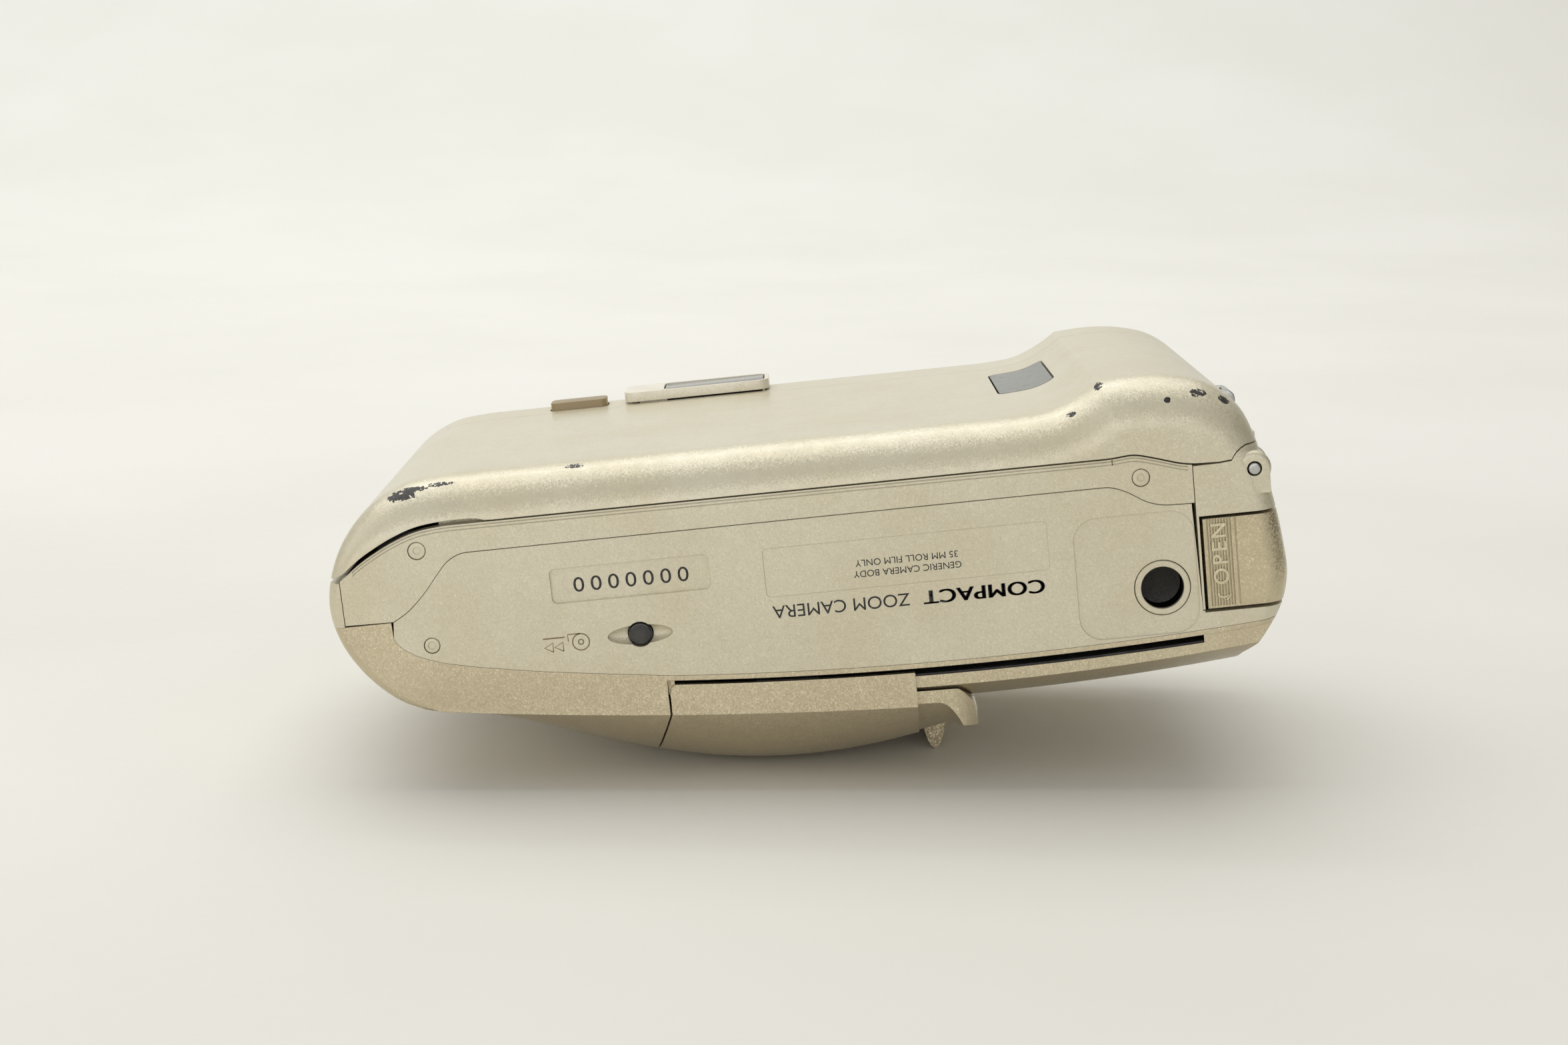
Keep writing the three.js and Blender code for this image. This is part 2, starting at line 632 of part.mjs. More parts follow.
function frontCover() {
  const low = prismY(
    [
      [-FAR, -FAR],
      [FAR, -FAR],
      [FAR, 18.4 - GAP],
      [62, 18.4 - GAP],
      ...shifted(plateFoot, 0, -GAP / 2).reverse().slice(1),
      [-53.3, 29.3 - GAP / 2],
      [-FAR, 29.3 - GAP],
    ],
    -FAR,
    COVER_SPLIT_Y + 0.01,
  );
  const high = box(-FAR, FAR, COVER_SPLIT_Y, FAR, -FAR, COVER_SPLIT_Z - GAP / 2);
  const slotOutline = [
    ...railCurve(RAIL.left, RAIL.right, 0),
    ...railCurve(RAIL.left, RAIL.right, RAIL.width).reverse(),
  ];
  const slots = prismY(slotOutline, -FAR, BASE_Y + WALL + 6).add(prismY(slotOutline, TOP_Y - WALL - 6, FAR));
  const openings = Object.values(WINDOWS).map((outline) => prismZ(outline, -5, 19.5));
  const lensHole = cylinderZ(LENS.x, LENS.y, LENS.hole, -5, 22, 48);
  return shell.intersect(low.add(high)).subtract(slots).subtract(union(lensHole, ...openings));
}

const front = frontCover();
place('front_cover', front, CHAMPAGNE_FRONT);

function pane(outline) {
  const grown = prismZ(outline, -5, 19.2);
  return shell.intersect(grown).intersect(box(-FAR, FAR, -FAR, FAR, -5, COVER_SPLIT_Z - 1));
}

place('finder_window', pane(roundedRectangle(-16.5, -5.7, 20.9, 27.3, 1.0)), CLEAR);
place('focus_window', pane(roundedRectangle(-1.9, 8.1, 21.5, 26.7, 1.0)), BLACK_GLOSS);
place('flash_window', pane(roundedRectangle(-50.2, -29.8, 7.8, 22.2, 1.2)), CLEAR);

// ---------------------------------------------------------------- lens barrier
// A block under the dome's surface between two ends, for a barrier of this half height.
function domedBlock(ends, halfHeight, top, surface) {
  const STEPS = 10;
  const rings = [0, 0.04, 0.1, 0.2, 0.34, 0.5, 0.66, 0.8, 0.9, 0.96, 1].map((share) => {
    const y = MID_Y + halfHeight * (2 * share - 1);
    const [left, right] = ends(y);
    const ring = [];
    for (let i = 0; i <= STEPS; i++) {
      const x = THREE.MathUtils.lerp(left, right, i / STEPS);
      ring.push([x, y, surface(x, crown(y, halfHeight))]);
    }
    ring.push([right, y, top], [left, y, top]);
    return ring;
  });
  return loft(rings);
}

function lensBarrier() {
  const { right, flangeRight, skin, flange, step } = BARRIER;
  const drop = (x) => Math.min(0.38 * Math.max(x - 15, 0) ** 2, 3.2);
  const outside = (x, rise) => creaseZ(x) - drop(x) - (domeBulge(x) - drop(x)) * rise;
  const inside = (x, rise) => creaseZ(x) - drop(x) + 0.8 - (domeBulge(x) - drop(x) - skin + 0.8) * rise;
  const wide = (y) => [barrierLeft(y) + GAP, flangeRight];
  const narrow = () => [flangeRight - 1.2, right];
  const wideRoom = (y) => [barrierLeft(y) - 4, flangeRight - flange];
  const narrowRoom = () => [flangeRight - flange - 0.5, right - 2.5];
  const [low, high] = [BASE_Y + step, TOP_Y - step];
  const roundedEnd = prismZ(roundedRectangle(flangeRight - 6, right, low, high, 3), -5, 30);
  const outer = domedBlock(wide, HALF_HEIGHT, 22, outside)
    .add(domedBlock(narrow, HALF_HEIGHT - step, 22, outside).intersect(roundedEnd));
  const inner = domedBlock(wideRoom, HALF_HEIGHT - flange, 30, inside)
    .add(domedBlock(narrowRoom, HALF_HEIGHT - step - flange, 30, inside));
  const flangeTop = [
    [BARRIER.left - 4, -FAR],
    [FAR, -FAR],
    [FAR, 9],
    [right, 9.6],
    [right - 0.4, 10.6],
    [right - 1.0, 11.6],
    [right - 2.2, 12.9],
    [right - 3.6, 13.6],
    [right - 4.8, 13.8],
    [flangeRight, 13.7],
    [flangeRight, 15.2],
    ...railCurve(BARRIER.left + 1.2, flangeRight - 0.8, 0.55, 6).reverse(),
    [BARRIER.left + GAP, 16.6],
    [BARRIER.left + GAP, 14.7],
    [BARRIER.left - 4, 14.4],
  ];
  const cover = outer.subtract(inner).intersect(prismY(flangeTop, -FAR, FAR)).subtract(plateClearance());
  const tabs = [-1, 1].map((side) => railTab(side));
  return union(cover, ridge(), ...tabs);
}

// The space the plate takes up, seen from the barrier at any point of its slide.
function plateClearance() {
  const LOWEST_X = 11.5;
  const keep = 0.35;
  const half = HALF_HEIGHT - BARRIER.flange;
  const rings = [];
  for (let k = 0; k <= 12; k++) {
    const y = MID_Y - half * Math.cos((k / 12) * Math.PI);
    const ring = [[-40, y, 40], [-40, y, plateZ(LOWEST_X, y) - keep]];
    for (const x of [LOWEST_X, 18, 26, 33, 40]) ring.push([x, y, plateZ(x, y) - keep]);
    ring.push([40, y, 40]);
    rings.push(ring);
  }
  return loft(rings);
}

// A tongue on each flange that runs in the rail slot, with a lip behind the wall.
function railTab(side) {
  const face = side < 0 ? BASE_Y : TOP_Y;
  const band = (x0, x1, high, low) => [...railCurve(x0, x1, high, 4), ...railCurve(x0, x1, low, 4).reverse()];
  const slab = (outline, from, to) => {
    const ends = [face - side * from, face - side * to].sort((a, b) => a - b);
    return prismY(outline, ...ends);
  };
  const tongue = slab(band(-8, 0, 0.5, 0.9), 0.7, WALL + 1.1);
  const lip = slab(band(-8, 0, -0.6, 0.9), WALL + 0.3, WALL + 1.1);
  return tongue.add(lip);
}

function ridge() {
  const profile = [[12.2, 7], [13.2, 3.0], [13.9, 0.6], [14.6, 0], [15.4, 0.6], [16.3, 3.0], [17.3, 7]];
  const bar = prismY(profile, MID_Y - 11.5, MID_Y + 11.5);
  const ends = prismZ(roundedRectangle(11, 19, MID_Y - 11.5, MID_Y + 11.5, 3.6), -1, 6.4);
  return bar.intersect(ends);
}

place('lens_barrier', lensBarrier(), CHAMPAGNE_FRONT);

// ---------------------------------------------------------------- lens
const { x: lensX, y: lensY } = LENS;
place('lens_mount', tubeZ(lensX, lensY, 15.4, 14.2, 15.2, 31).subtract(front), BLACK);
place('zoom_barrel', tubeZ(lensX, lensY, LENS.zoom, 12.3, 9.6, 30), BLACK);
const nameRing = latheZ(lensX, lensY, [
  [LENS.glass + 0.25, 13.5],
  [LENS.glass + 0.25, 10.6],
  [11.2, LENS.frontZ],
  [LENS.front, LENS.frontZ],
  [LENS.front, 28],
  [10.6, 28],
  [10.6, 13.5],
  [LENS.glass + 0.25, 13.5],
]);
place('front_barrel', nameRing, BLACK_GLOSS);
const frontGlass = latheZ(lensX, lensY, [
  [0, 10.2],
  [3, 10.35],
  [6, 10.8],
  [LENS.glass, 11.6],
  [LENS.glass, 13.2],
  [0, 13.2],
]);
place('front_element', frontGlass, CLEAR);
const shutterDisc = cylinderZ(lensX, lensY, 10.3, 18, 20.5, 40).subtract(cylinderZ(lensX, lensY, 4, 17, 21, 24));
place('shutter_unit', shutterDisc, BLACK);
const rearGlass = latheZ(lensX, lensY, [[0, 23], [7.5, 23.6], [7.5, 26], [0, 26.6]], 32);
place('rear_element', rearGlass, CLEAR);

// ---------------------------------------------------------------- film chassis
const CHASSIS = { y0: -28.9, y1: 19.0 };

const sprocketRoom = box(-33, -25.7, -26, 14, 35, 60);
const filmSlot = box(10, 20, -25.5, 13.5, 40.0, 60);

function gateFrame() {
  const { y0, y1 } = CHASSIS;
  const plate = box(-30.8, 13.9, y0, y1, 39.5, FILM_Z);
  const lensWall = box(-30.8, 13.9, y0, y1, 31.4, 32.8);
  const ties = [y0, y1 - 1.4].map((y) => box(-30.8, 13.9, y, y + 1.4, 31.4, 40));
  const gate = box(-26.5, 9.5, -18, 6, 30, 45);
  const lensBore = cylinderZ(lensX, lensY, 15.6, 31, 34, 40);
  return union(plate, lensWall, ...ties).subtract(union(gate, lensBore, sprocketRoom, filmSlot));
}

place('gate_frame', gateFrame(), BLACK);

function cassetteRoom() {
  const { y0, y1 } = CHASSIS;
  const { x, z, radius } = CASSETTE;
  const room = cylinderY(x, z, radius, y0 + 0.6, y1 - 0.6, 40);
  const mouth = box(x - 12.8, x + 12.8, y0 + 0.6, y1 - 0.6, z, 60);
  const forkHole = cylinderY(x, z, 2.6, 15, 25, 24);
  const bushRoom = cylinderY(TRIPOD.x, TRIPOD.z, TRIPOD.flange + GAP, BASE_Y, -27);
  return box(14.2, 42.3, y0, y1, 18.2, 40.6)
    .subtract(union(room, mouth, forkHole, filmSlot, bushRoom))
    .intersect(bodyInner);
}

place('cassette_room', cassetteRoom(), BLACK);

function spoolRoom() {
  const { y0, y1 } = CHASSIS;
  const room = box(-53.0, -31.2 + 1, y0 + 1.2, y1 - 1.2, 22.4, 60);
  return box(-54.4, -31.1, y0, y1, 21.3, 40.4).subtract(room).intersect(bodyInner);
}

place('spool_room', spoolRoom(), BLACK);

const spoolDrum = cylinderY(SPOOL.x, SPOOL.z, SPOOL.radius, -27.2, 14.6, 36)
  .subtract(cylinderY(SPOOL.x, SPOOL.z, 7.0, -28, 13.4, 36))
  .subtract(box(SPOOL.x - 0.6, SPOOL.x + 0.6, -14, 2, SPOOL.z + 6, SPOOL.z + 12));
place('takeup_spool', spoolDrum, BLACK);
place('wind_motor', cylinderY(SPOOL.x, SPOOL.z, 6.2, -27.4, 12.4, 28), STEEL);

function sprocket() {
  const [x, z] = [-29.3, 38.6];
  const teeth = [];
  for (let i = 0; i < 8; i++) {
    for (const y of [-22.5, 11]) {
      const tooth = box(-0.35, 0.35, y, y + 1, 2.2, 3.3);
      teeth.push(tooth.rotate([0, 45 * i, 0]).translate([x, 0, z]));
    }
  }
  return union(cylinderY(x, z, 2.6, -24.5, 13, 24), ...teeth);
}

place('sprocket_roller', sprocket(), BLACK);

const fork = union(
  cylinderY(CASSETTE.x, CASSETTE.z, 2.3, 13.2, 20.4, 24),
  box(CASSETTE.x - 3.4, CASSETTE.x + 3.4, 14.6, 17.6, CASSETTE.z - 0.6, CASSETTE.z + 0.6),
  cylinderY(CASSETTE.x, CASSETTE.z, 5.6, 19.3, 20.4, 30),
);
place('rewind_fork', fork, BLACK);

const RAIL_LENGTH = { x0: -26, x1: 9 };
[-19.6, 6.6].forEach((y, i) => {
  place(`film_rail_${i + 1}`, box(RAIL_LENGTH.x0, RAIL_LENGTH.x1, y, y + 1, FILM_Z + 0.02, FILM_Z + 0.3), STEEL);
});

const dxStrip = union(...[-14, -10, -6, -2, 2].map((y) => box(16.6, 17.2, y, y + 2, 29, 34)));
const dxBase = box(16.6, 16.9, -14, 4, 30, 33);
place('film_code_contacts', dxStrip.add(dxBase), BRASS);

place('light_seal_hinge_side', box(43.0, 53.5, CHASSIS.y0, CHASSIS.y1, 41.8, 43.4), FOAM);

// ---------------------------------------------------------------- front internals
place('main_board', box(9, 41, -27, 17.5, 16.9, 17.9), CIRCUIT);
place('zoom_motor', cylinderY(-31.5, 17.6, 3.4, -20, -2, 28), STEEL);
place('flash_capacitor', cylinderY(50.6, 29.5, 6.4, 5.2, 24.5, 32), BLACK_GLOSS);

const reflectorCup = box(-48.8, -31.2, 9.2, 20.8, 14.4, 20.2).subtract(
  prismY([[-47.8, 13], [-32.2, 13], [-35.5, 19.2], [-44.5, 19.2]], 10, 20),
);
place('flash_reflector', reflectorCup.intersect(bodyInner).subtract(front), STEEL);
const flashTube = solid(new THREE.CylinderGeometry(1.0, 1.0, 6, 16).rotateZ(Math.PI / 2).translate(-39.3, 15, 17.8));
place('flash_tube', flashTube, CLEAR);

const finderTube = box(FINDER.x0, FINDER.x1, FINDER.y0, FINDER.y1, 17.4, 43.6).subtract(
  box(FINDER.x0 + 0.9, FINDER.x1 - 0.9, FINDER.y0 + 0.9, FINDER.y1 - 0.9, 14, 45),
);
place('finder_tube', finderTube, BLACK);

// ---------------------------------------------------------------- top cover and controls
const EYEPIECE = { x0: -24.7, x1: -3.5, y0: 20.8, y1: 28.2, z: 48.35 };
const LCD = roundedRectangle(-13, 9, 26, 37, 1.5);
const MODE_BUTTONS = [-26, -34];
const MODE_Z = 31;
const BACK_BUTTON = { x0: -35.6, x1: -27.4, y0: 21.6, y1: 25.4 };

function topCover() {
  const { x0, x1, y0, y1 } = EYEPIECE;
  const eyepieceHole = box(x0 + 1.8, x1 - 0.4, y0 - 0.2 + 0.6, y1 - 0.4, 40, 55);
  const lcdPocket = prismY(LCD, TOP_Y - 1.0, TOP_Y + 1);
  const buttonHoles = MODE_BUTTONS.map((x) => cylinderY(x, MODE_Z, 2.5, 20, FAR, 24));
  const shutterHole = cylinderY(SHUTTER.x, SHUTTER.z, SHUTTER.radius + 0.25, 20, FAR, 32);
  const backHole = prismZ(
    roundedRectangle(BACK_BUTTON.x0 - 0.2, BACK_BUTTON.x1 + 0.2, BACK_BUTTON.y0 - 0.2, BACK_BUTTON.y1 + 0.2, 1),
    42,
    60,
  );
  return shell.intersect(coverRegion).subtract(union(eyepieceHole, lcdPocket, shutterHole, backHole, ...buttonHoles));
}

place('top_cover', topCover(), CHAMPAGNE);

function eyepieceFrame() {
  const { x0, x1, y0, y1, z } = EYEPIECE;
  const pad = prismZ(roundedRectangle(x0, x1, y0, y1, 1.6), BACK_Z + 0.25, z);
  const neck = box(x0 + 2.1, x1 - 0.7, y0 + 0.7, y1 - 0.7, 44.0, BACK_Z + 0.5);
  const seat = prismZ(roundedRectangle(-18.9, -4.1, y0 + 0.5, y1 - 0.5, 1.0), 46.5, 60);
  const hole = box(-18.2, -4.8, y0 + 1.4, y1 - 1.4, 40, 60);
  return pad.add(neck).subtract(seat).subtract(hole);
}

place('eyepiece_frame', eyepieceFrame(), CHAMPAGNE);
place(
  'eyepiece_lens',
  prismZ(roundedRectangle(-18.7, -4.3, EYEPIECE.y0 + 0.7, EYEPIECE.y1 - 0.7, 0.8), 46.6, 48.3),
  BLACK_GLOSS,
);

place('display_window', prismY(roundedRectangle(-12.8, 8.8, 26.2, 36.8, 1.4), TOP_Y - 0.9, TOP_Y - 0.05), SMOKE);

MODE_BUTTONS.forEach((x, i) => {
  const cap = cylinderY(x, MODE_Z, 2.3, TOP_Y - 2.5, TOP_Y + 0.7, 24);
  const collar = cylinderY(x, MODE_Z, 3.1, TOP_Y - 3.0, TOP_Y - WALL - 0.2, 24);
  place(`mode_button_${i + 1}`, cap.add(collar), BLACK);
});

const shutterButton = cylinderY(SHUTTER.x, SHUTTER.z, SHUTTER.radius, TOP_Y - 2.6, -BASE_Y, 32).add(
  cylinderY(SHUTTER.x, SHUTTER.z, SHUTTER.radius + 0.9, TOP_Y - 3.0, TOP_Y - WALL - 0.25, 32),
);
place('shutter_button', shutterButton, CHAMPAGNE);

const leverRing = cylinderY(SHUTTER.x, SHUTTER.z, 7.4, TOP_Y + 0.2, TOP_Y + 1.3, 40)
  .add(prismY([[42.2, 20.6], [45.8, 20.6], [46.4, 17.6], [41.6, 17.6]], TOP_Y + 0.2, TOP_Y + 1.6))
  .subtract(cylinderY(SHUTTER.x, SHUTTER.z, SHUTTER.radius + 0.3, 20, FAR, 32));
place('zoom_lever', leverRing, BLACK);

const backButton = prismZ(
  roundedRectangle(BACK_BUTTON.x0, BACK_BUTTON.x1, BACK_BUTTON.y0, BACK_BUTTON.y1, 0.9),
  44.2,
  47.8,
).add(box(BACK_BUTTON.x0 - 0.8, BACK_BUTTON.x1 + 0.8, BACK_BUTTON.y0 - 0.5, BACK_BUTTON.y1 + 0.5, 43.6, 44.5));
place('back_button', backButton, TAN);

export default camera;
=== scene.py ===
"""Looks of the compact film zoom camera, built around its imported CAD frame.

Helpers take millimetres in the CAD's own frame; meshes are stored in metres.
"""

import math

import bmesh
import bpy
import numpy as np
from mathutils import Matrix, Vector


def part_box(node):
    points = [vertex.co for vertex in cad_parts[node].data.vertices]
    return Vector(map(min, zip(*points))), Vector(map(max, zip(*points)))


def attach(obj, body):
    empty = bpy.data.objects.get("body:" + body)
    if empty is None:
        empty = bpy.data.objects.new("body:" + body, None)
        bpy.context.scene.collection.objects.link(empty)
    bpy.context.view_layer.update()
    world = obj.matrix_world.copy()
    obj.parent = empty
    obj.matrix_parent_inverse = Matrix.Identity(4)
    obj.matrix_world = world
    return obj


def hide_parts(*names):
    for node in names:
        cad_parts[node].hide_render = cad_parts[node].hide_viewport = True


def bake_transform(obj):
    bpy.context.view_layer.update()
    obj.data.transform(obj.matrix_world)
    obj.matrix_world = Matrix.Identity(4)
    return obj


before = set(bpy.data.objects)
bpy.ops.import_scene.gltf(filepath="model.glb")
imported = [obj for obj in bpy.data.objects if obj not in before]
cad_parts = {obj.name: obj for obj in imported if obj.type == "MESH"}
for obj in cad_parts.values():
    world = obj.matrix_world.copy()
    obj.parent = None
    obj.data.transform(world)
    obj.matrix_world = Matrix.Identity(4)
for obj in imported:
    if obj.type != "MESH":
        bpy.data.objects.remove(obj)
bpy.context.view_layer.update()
MM = 0.001
SCENE = bpy.context.scene
FAR = 80.0


def span(node, axis):
    """Low and high side of a CAD node along one axis, in millimetres."""
    low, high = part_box(node)
    return round(low[axis] / MM, 2), round(high[axis] / MM, 2)


def centre(node):
    """Middle of a CAD node, in millimetres."""
    return [round(sum(span(node, axis)) / 2, 2) for axis in range(3)]


BASE_Y, TOP_Y = span("bottom_plate", 1)[0], span("top_cover", 1)[1]
MID_Y = (BASE_Y + TOP_Y) / 2
HALF = (TOP_Y - BASE_Y) / 2
WALL = 1.8
SEAM = 0.09
CLEAR = 0.25
BACK_Z = 46.7
TOP_EDGE = 4.0
SPLIT_Y, SPLIT_Z = 19.5, 20.0
HINGE_X, _, HINGE_Z = centre("hinge_pin")
HINGE_LOW, HINGE_HIGH = -27.75, 15.15
LENS_X, LENS_Y, _ = centre("lens_mount")
LENS_HOLE = 13.8
TRIPOD_X, _, TRIPOD_Z = centre("tripod_bush")
REWIND_X, _, REWIND_Z = centre("rewind_button")
SCREW_X, _, SCREW_Z = centre("plate_screw")
SHUTTER_X, _, SHUTTER_Z = centre("shutter_button")
BATTERY_PIN_X, BATTERY_PIN_Y, _ = centre("battery_door_pin")

BARRIER_LEFT, BARRIER_BOW = -19.3, 3.6
BARRIER_RIGHT = span("lens_barrier", 0)[1]
FLANGE_RIGHT = 12.3
RAIL_X, RAIL_Z, RAIL_RADIUS = 21.6, 506.0, 489.5
RAIL_LEFT, RAIL_RIGHT, RAIL_WIDTH = -18.4, 49.4, 1.3
PLATE_BULGE = 5.5


# ------------------------------------------------------------------ mesh helpers
def make(name, verts, faces):
    """A new mesh object from points in millimetres."""
    mesh = bpy.data.meshes.new(name)
    mesh.from_pydata([tuple(c * MM for c in v) for v in verts], [], faces)
    mesh.validate()
    piece = bpy.data.objects.new(name, mesh)
    SCENE.collection.objects.link(piece)
    outward(piece)
    return piece


def outward(piece):
    """Turns every face to look out of the solid."""
    bm = bmesh.new()
    bm.from_mesh(piece.data)
    bmesh.ops.recalc_face_normals(bm, faces=bm.faces)
    if bm.calc_volume(signed=True) < 0:
        bmesh.ops.reverse_faces(bm, faces=bm.faces)
    bm.to_mesh(piece.data)
    bm.free()


def loft(name, rings, closed=False):
    """Skin over rings of equal length; the ends are capped unless the rings close on themselves."""
    count = len(rings[0])
    faces = []
    spans = len(rings) if closed else len(rings) - 1
    for k in range(spans):
        a, b = k * count, ((k + 1) % len(rings)) * count
        for i in range(count):
            j = (i + 1) % count
            faces.append((a + i, a + j, b + j, b + i))
    if not closed:
        last = (len(rings) - 1) * count
        faces.append(tuple(reversed(range(count))))
        faces.append(tuple(range(last, last + count)))
    return make(name, [p for ring in rings for p in ring], faces)


def prism_y(outline, y0, y1, name="cut"):
    return loft(name, [[(x, y, z) for x, z in outline] for y in (y0, y1)])


def prism_z(outline, z0, z1, name="cut"):
    return loft(name, [[(x, y, z) for x, y in outline] for z in (z0, z1)])


def block(x0, x1, y0, y1, z0, z1, name="cut"):
    return prism_z([(x0, y0), (x1, y0), (x1, y1), (x0, y1)], z0, z1, name)


def rounded(u0, u1, v0, v1, r, steps=10):
    """Outline of a rectangle with rounded corners."""
    outline = []
    corners = ((u1 - r, v0 + r, -90), (u1 - r, v1 - r, 0), (u0 + r, v1 - r, 90), (u0 + r, v0 + r, 180))
    for u, v, start in corners:
        for i in range(steps + 1):
            a = math.radians(start + 90 * i / steps)
            outline.append((u + r * math.cos(a), v + r * math.sin(a)))
    return outline


def turned(name, axis, u, v, profile, segments=96):
    """Closed solid of revolution about a line along Y (through x=u, z=v) or Z (through x=u, y=v)."""
    rings = []
    for k in range(segments):
        a = 2 * math.pi * k / segments
        c, s = math.cos(a), math.sin(a)
        if axis == "Y":
            rings.append([(u + r * c, h, v + r * s) for r, h in profile])
        else:
            rings.append([(u + r * c, v + r * s, h) for r, h in profile])
    piece = loft(name, rings, closed=True)
    bm = bmesh.new()
    bm.from_mesh(piece.data)
    bmesh.ops.remove_doubles(bm, verts=bm.verts, dist=1e-7)
    bmesh.ops.recalc_face_normals(bm, faces=bm.faces)
    bm.to_mesh(piece.data)
    bm.free()
    return piece


def rod(axis, u, v, r, h0, h1, segments=64, name="cut"):
    return turned(name, axis, u, v, [(0, h0), (r, h0), (r, h1), (0, h1)], segments)


def soft_rod(name, axis, u, v, r, h0, h1, edge=0.2, segments=96):
    """A turned disc with rounded rims."""
    profile = [(0, h0)]
    for k in range(5):
        a = math.radians(-90 + 22.5 * k)
        profile.append((r - edge + edge * math.cos(a), h0 + edge + edge * math.sin(a)))
    for k in range(5):
        a = math.radians(22.5 * k)
        profile.append((r - edge + edge * math.cos(a), h1 - edge + edge * math.sin(a)))
    profile.append((0, h1))
    return turned(name, axis, u, v, profile, segments)


def combine(piece, how, *others):
    """Boolean of piece with the others, which are used up."""
    for other in others:
        step = piece.modifiers.new("step", "BOOLEAN")
        step.operation = how
        step.solver = "MANIFOLD"
        step.object = other
    graph = bpy.context.evaluated_depsgraph_get()
    mesh = bpy.data.meshes.new_from_object(piece.evaluated_get(graph))
    piece.modifiers.clear()
    old = piece.data
    piece.data = mesh
    bpy.data.meshes.remove(old)
    for other in others:
        discard(other)
    return piece


def cut(piece, *others):
    return combine(piece, "DIFFERENCE", *others)


def common(piece, *others):
    return combine(piece, "INTERSECT", *others)


def join(piece, *others):
    return combine(piece, "UNION", *others)


def copy(piece, name):
    twin = bpy.data.objects.new(name, piece.data.copy())
    SCENE.collection.objects.link(twin)
    return twin


def discard(piece):
    mesh = piece.data
    bpy.data.objects.remove(piece)
    if mesh.users == 0:
        bpy.data.meshes.remove(mesh)


def done(piece, name, body, material, replaces=(), angle=32):
    """Names, shades, colours and mounts a finished piece; with no body, the piece is left unmounted."""
    piece.name = name
    for polygon in piece.data.polygons:
        polygon.use_smooth = True
    piece.data.set_sharp_from_angle(angle=math.radians(angle))
    piece.data.materials.clear()
    piece.data.materials.append(material)
    if body:
        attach(piece, body)
    if replaces:
        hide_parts(*replaces)
    return piece


# ------------------------------------------------------------------ materials
class Paint:
    """A small node-tree writer."""

    def __init__(self, name):
        self.material = bpy.data.materials.new(name)
        self.material.use_nodes = True
        self.tree = self.material.node_tree
        self.shader = self.tree.nodes["Principled BSDF"]
        self.where = self.node("ShaderNodeTexCoord").outputs["Object"]

    def node(self, kind, **values):
        node = self.tree.nodes.new(kind)
        for key, value in values.items():
            setattr(node, key, value)
        return node

    def link(self, source, target):
        if isinstance(source, (int, float, tuple)):
            target.default_value = source
        else:
            self.tree.links.new(source, target)

    def math(self, operation, a, b=0.0, clamp=False):
        node = self.node("ShaderNodeMath", operation=operation, use_clamp=clamp)
        self.link(a, node.inputs[0])
        self.link(b, node.inputs[1])
        return node.outputs[0]

    def vector(self, operation, a, b=(0.0, 0.0, 0.0)):
        node = self.node("ShaderNodeVectorMath", operation=operation)
        self.link(a, node.inputs[0])
        self.link(b, node.inputs[1])
        return node.outputs["Value" if operation in ("LENGTH", "DISTANCE", "DOT_PRODUCT") else "Vector"]

    def noise(self, size_mm, detail=3.0, stretch=None, roughness=0.55):
        place = self.where
        if stretch:
            place = self.vector("MULTIPLY", place, stretch)
        node = self.node("ShaderNodeTexNoise")
        self.link(place, node.inputs["Vector"])
        node.inputs["Scale"].default_value = 1.0 / (size_mm * MM)
        node.inputs["Detail"].default_value = detail
        node.inputs["Roughness"].default_value = roughness
        return node.outputs["Fac"]

    def ramp(self, value, low, high, start=0.0, end=1.0):
        node = self.node("ShaderNodeMapRange", interpolation_type="SMOOTHSTEP")
        self.link(value, node.inputs["Value"])
        for key, number in (("From Min", low), ("From Max", high), ("To Min", start), ("To Max", end)):
            node.inputs[key].default_value = number
        return node.outputs["Result"]

    def mix(self, factor, a, b):
        node = self.node("ShaderNodeMix", data_type="RGBA")
        self.link(factor, node.inputs["Factor"])
        self.link(a, node.inputs["A"])
        self.link(b, node.inputs["B"])
        return node.outputs["Result"]

    def blob(self, centre, radii, grain, low=0.5, high=0.56, detail=2.0):
        """Broken-edged marks inside an ellipsoid given in millimetres."""
        offset = self.vector("SUBTRACT", self.where, tuple(c * MM for c in centre))
        scaled = self.vector("MULTIPLY", offset, tuple(1 / (r * MM) for r in radii))
        reach = self.vector("LENGTH", scaled)
        inside = self.ramp(reach, 0.35, 1.0, 0.24, -0.35)
        level = self.math("ADD", self.noise(grain, detail), inside)
        return self.ramp(level, low + 0.16, high + 0.16)

    def edge_normal(self, radius_mm):
        node = self.node("ShaderNodeBevel", samples=4)
        node.inputs["Radius"].default_value = radius_mm * MM
        return node.outputs["Normal"]

    def set(self, key, value):
        self.link(value, self.shader.inputs[key])


def rgb(r, g, b):
    """Linear colour from 8-bit sRGB."""
    def lin(c):
        c /= 255
        return c / 12.92 if c <= 0.04045 else ((c + 0.055) / 1.055) ** 2.4
    return (lin(r), lin(g), lin(b), 1.0)


